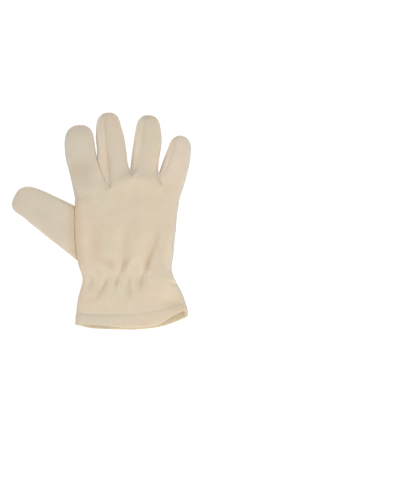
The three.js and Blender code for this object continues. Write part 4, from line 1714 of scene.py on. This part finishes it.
@dataclass(frozen=True)
class Graph:
    """The node graph of one material."""

    material: Material

    @classmethod
    def new(cls, name: str) -> "Graph":
        """Starts an empty graph in a new material.

        Args:
            name: the material's name.

        Returns:
            The graph.
        """
        material = bpy.data.materials.new(name)
        material.use_nodes = True
        material.node_tree.nodes.clear()
        return cls(material)

    def node(self, kind: str, settings: dict[str, Any], values: dict[Any, Any]) -> Node:
        """Adds a node.

        Args:
            kind: the node's type.
            settings: its properties, which are set first.
            values: what each of its input sockets holds, a number, a colour or a link.

        Returns:
            The node.
        """
        made = self.material.node_tree.nodes.new(kind)
        for name, value in settings.items():
            setattr(made, name, value)
        for name, value in values.items():
            source = value.socket if isinstance(value, Value) else value
            if isinstance(source, NodeSocket):
                self.material.node_tree.links.new(source, made.inputs[name])
            else:
                made.inputs[name].default_value = value
        return made

    def noise(self, size: float, detail: float = 2.0, roughness: float = 0.5) -> Value:
        """Noise over the surface.

        Args:
            size: about how wide its spots are, in metres.
            detail: how many finer layers it has.
            roughness: how strong they are.

        Returns:
            The noise, from 0 to 1.
        """
        place = self.node("ShaderNodeTexCoord", {}, {}).outputs["Object"]
        values = {"Vector": place, "Scale": 1 / size, "Detail": detail, "Roughness": roughness}
        return Value(self, self.node("ShaderNodeTexNoise", {}, values).outputs["Fac"])

    def attribute(self, name: str) -> Value:
        """An attribute of the mesh."""
        return Value(self, self.node("ShaderNodeAttribute", {"attribute_name": name}, {}).outputs["Fac"])

    def mixed(self, factor: Any, first: Any, second: Any) -> NodeSocket:
        """A colour between two colours."""
        values = {0: factor, 6: first, 7: second}
        return self.node("ShaderNodeMix", {"data_type": "RGBA"}, values).outputs[2]

    def finish(self, values: dict[str, Any]) -> Material:
        """Ends the graph in a Principled surface.

        Args:
            values: what the surface's sockets hold.

        Returns:
            The graph's material.
        """
        shader = self.node("ShaderNodeBsdfPrincipled", {}, values)
        self.node("ShaderNodeOutputMaterial", {}, {"Surface": shader.outputs["BSDF"]})
        return self.material


@dataclass(frozen=True)
class FleeceFinish:
    """Soft cream fleece: mottled, with painted light and shade, a fine nap and a velvety sheen.

    Each size is that of one kind of spot, in metres, and nap_height the height of the nap. The contrast and
    the two cuts set how far the spots turn the colour, and the strengths how far the painted light and shade
    and the cooler tones do.
    """

    rosy: Colour = (0.75, 0.615, 0.495, 1.0)
    pale: Colour = (0.725, 0.635, 0.485, 1.0)
    dark: Colour = (0.645, 0.535, 0.405, 1.0)
    # the cooler, darker colour of the fingers' and thumb's tone, also used as painted shade
    cool: Colour = (0.625, 0.567, 0.47, 1.0)
    # colour of the painted shade in creases, along seams and at the index finger's root
    crease: Colour = (0.56, 0.40, 0.22, 1.0)
    shade: Colour = (0.50, 0.43, 0.27, 1.0)
    # colour of the painted light on the strips, the webs and the little finger
    light: Colour = (0.88, 0.76, 0.64, 1.0)
    # colour of the painted grey sheen at the hand's outer sides
    rim: Colour = (0.58, 0.56, 0.51, 1.0)
    blush_size: float = 0.03
    patch_size: float = 0.014
    tuft_size: float = 0.0022
    fibre_size: float = 0.0007
    blush_contrast: float = 3.0
    blush_cut: float = 1.0
    patch_share: float = 0.9
    tuft_share: float = 0.35
    dark_cut: float = 0.12
    tuft_relief: float = 0.7
    fibre_relief: float = 0.3
    nap_height: float = 0.0006
    cool_strength: float = 0.6
    light_strength: float = 0.25
    crease_strength: float = 0.55
    rim_strength: float = 0.8

    def material(self) -> Material:
        """Builds the material.

        Returns:
            The fleece.
        """
        graph = Graph.new("cream_fleece")
        patches = graph.noise(self.patch_size, detail=3.0, roughness=0.55)
        tufts = graph.noise(self.tuft_size, roughness=0.6)
        fibres = graph.noise(self.fibre_size, roughness=0.7)
        blush = graph.noise(self.blush_size) * self.blush_contrast - self.blush_cut
        mottle = patches * self.patch_share + tufts * self.tuft_share - self.dark_cut
        colour = graph.mixed(mottle, self.dark, graph.mixed(blush, self.rosy, self.pale))
        # cooler tones with painted shade, and below zero painted light
        colour = graph.mixed(graph.attribute("cool") * self.cool_strength, colour, self.cool)
        colour = graph.mixed(graph.attribute("cool") * -self.light_strength, colour, self.light)
        # painted shade in creases and seams
        colour = graph.mixed(graph.attribute("crease") * self.crease_strength, colour, self.crease)
        colour = graph.mixed(graph.attribute("shade"), colour, self.shade)
        # painted grey sheen at the hand's outer sides
        colour = graph.mixed(graph.attribute("rim") * self.rim_strength, colour, self.rim)
        height = tufts * self.tuft_relief + fibres * self.fibre_relief
        relief = {"Strength": 0.5, "Distance": self.nap_height, "Height": height}
        bump = graph.node("ShaderNodeBump", {}, relief)
        return graph.finish(
            {
                "Base Color": colour,
                "Roughness": 0.95,
                "Specular IOR Level": 0.15,
                "Subsurface Weight": 0.5,
                "Subsurface Radius": (1.0, 0.75, 0.5),
                "Subsurface Scale": 0.004,
                "Sheen Weight": 0.3,
                "Sheen Roughness": 0.4,
                "Sheen Tint": (0.92, 0.95, 1.0, 1.0),
                "Normal": bump.outputs["Normal"],
            }
        )


@dataclass(frozen=True)
class FloorFinish:
    """A plain white light table."""

    colour: Colour = (0.7, 0.7, 0.7, 1.0)
    light: Colour = (1.0, 1.0, 1.0, 1.0)
    glow: float = 0.55

    def material(self) -> Material:
        """Builds the material.

        Returns:
            The table's surface.
        """
        return Graph.new("white_floor").finish(
            {
                "Base Color": self.colour,
                "Roughness": 0.9,
                "Specular IOR Level": 0.1,
                "Emission Color": self.light,
                "Emission Strength": self.glow,
            }
        )


@dataclass(frozen=True)
class ThreadFinish:
    """Cream sewing thread."""

    colour: Colour = (0.62, 0.50, 0.36, 1.0)

    def material(self) -> Material:
        """Builds the material."""
        values = {"Base Color": self.colour, "Roughness": 0.6, "Specular IOR Level": 0.3}
        return Graph.new("cream_thread").finish(values)


@dataclass(frozen=True)
class Glove:
    """The glove: its skin, cut into the pieces that it is sewn from. Its cloth's thickness is in mm."""

    levels: int = 2
    cloth: float = 2.0

    def build(self) -> list[Object]:
        """Builds every piece of the glove.

        Returns:
            The pieces.
        """
        skin = smoothed_mesh(GloveNet().build(), self.levels)
        log.info("skin: %d faces", len(skin.polygons))
        ClothShaper().shape(skin)
        fleece = FleeceFinish().material()
        pieces = (
            SewnPiece("back_of_glove", "back_panel", Panel.BACK, self.cloth),
            SewnPiece("palm_of_glove", "palm_panel", Panel.PALM, self.cloth),
            SewnPiece("strip_index_middle", "fourchette_index_middle", Panel.INDEX_MIDDLE, self.cloth),
            SewnPiece("strip_middle_ring", "fourchette_middle_ring", Panel.MIDDLE_RING, self.cloth),
            SewnPiece("strip_ring_little", "fourchette_ring_little", Panel.RING_LITTLE, self.cloth),
            SewnPiece("thumb_of_glove", "thumb", Panel.THUMB, self.cloth),
            HemPiece("hem_of_glove", "cuff_hem", Panel.HEM, 2 * self.cloth),
        )
        made = [piece.build(skin, fleece) for piece in pieces]
        made.append(Stitching().build(skin, ThreadFinish().material()))
        bpy.data.meshes.remove(skin)
        return made


@dataclass(frozen=True)
class Lamp:
    """A square light, in metres and watts."""

    name: str
    place: Triple
    size: float
    power: float
    colour: Triple = (1.0, 1.0, 1.0)

    def build(self, aim: Vector) -> None:
        """Hangs the light.

        Args:
            aim: the point that it faces.
        """
        data = bpy.data.lights.new(self.name, "AREA")
        data.color = self.colour
        data.size = self.size
        data.energy = self.power
        light = placed(self.name, data)
        light.location = self.place
        light.rotation_mode = "QUATERNION"
        light.rotation_quaternion = (aim - Vector(self.place)).to_track_quat("-Z", "Y")


@dataclass(frozen=True)
class Studio:
    """The floor, the lights and the camera, in metres.

    The lights are a broad one from the cuff's side, one above, a low one beside the thumb and a cool fill.
    """

    aim: tuple[float, float] = (0.1126, -0.0333)
    aim_height: float = 0.012
    frame_height: float = 0.57
    distance: float = 2.2
    sensor: float = 36.0
    nearest: float = 0.05
    farthest: float = 20.0
    floor_size: float = 3.0
    floor_drop: float = 0.0003
    ambient: float = 0.30
    lamp_aim: Triple = (0.02, 0.0, 0.0)
    lamps: tuple[Lamp, ...] = (
        Lamp("key", (0.56, -0.79, 1.01), 0.55, 10.0),
        Lamp("top", (0.0, -0.1, 1.9), 0.6, 11.5),
        Lamp("side", (-1.3, -0.3, 0.4), 0.7, 1.6),
        Lamp("fill", (-0.5, 1.3, 0.9), 1.0, 4.5, (0.82, 0.91, 1.0)),
    )

    def build(self) -> None:
        """Sets up the studio."""
        self.floor()
        self.lights()
        self.camera()

    def floor(self) -> None:
        """Lays the floor a hair below the glove."""
        plane = bmesh.new()
        bmesh.ops.create_grid(plane, x_segments=1, y_segments=1, size=self.floor_size)
        bmesh.ops.translate(plane, verts=plane.verts, vec=(0, 0, -self.floor_drop))
        mesh = mesh_from(plane, "floor")
        mesh.materials.append(FloorFinish().material())
        floor = placed("floor", mesh)

    def lights(self) -> None:
        """Hangs the lights in a white world."""
        for lamp in self.lamps:
            lamp.build(Vector(self.lamp_aim))
        world = bpy.data.worlds.new("studio")
        world.use_nodes = True
        background = world.node_tree.nodes["Background"].inputs
        background["Color"].default_value = (1.0, 1.0, 1.0, 1.0)
        background["Strength"].default_value = self.ambient
        bpy.context.scene.world = world
        bpy.context.scene.view_settings.view_transform = "Standard"

    def camera(self) -> None:
        """Places the camera straight above, its frame as high as the photograph's."""
        data = bpy.data.cameras.new("camera")
        data.sensor_width = self.sensor
        data.lens = self.sensor * self.distance / self.frame_height
        data.clip_start = self.nearest
        data.clip_end = self.farthest
        camera = placed("camera", data)
        camera.location = (*self.aim, self.distance + self.aim_height)
        bpy.context.scene.camera = camera


def main() -> None:
    """Builds the glove round its frame, reports its pieces and sets up the studio."""
    logging.basicConfig(level=logging.INFO, format="%(message)s")
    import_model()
    for piece in Glove().build():
        triangles = sum(len(face.vertices) - 2 for face in piece.data.polygons)
        log.info("%s: %d triangles", piece.name, triangles)
    Studio().build()


if __name__ == "__main__":
    main()
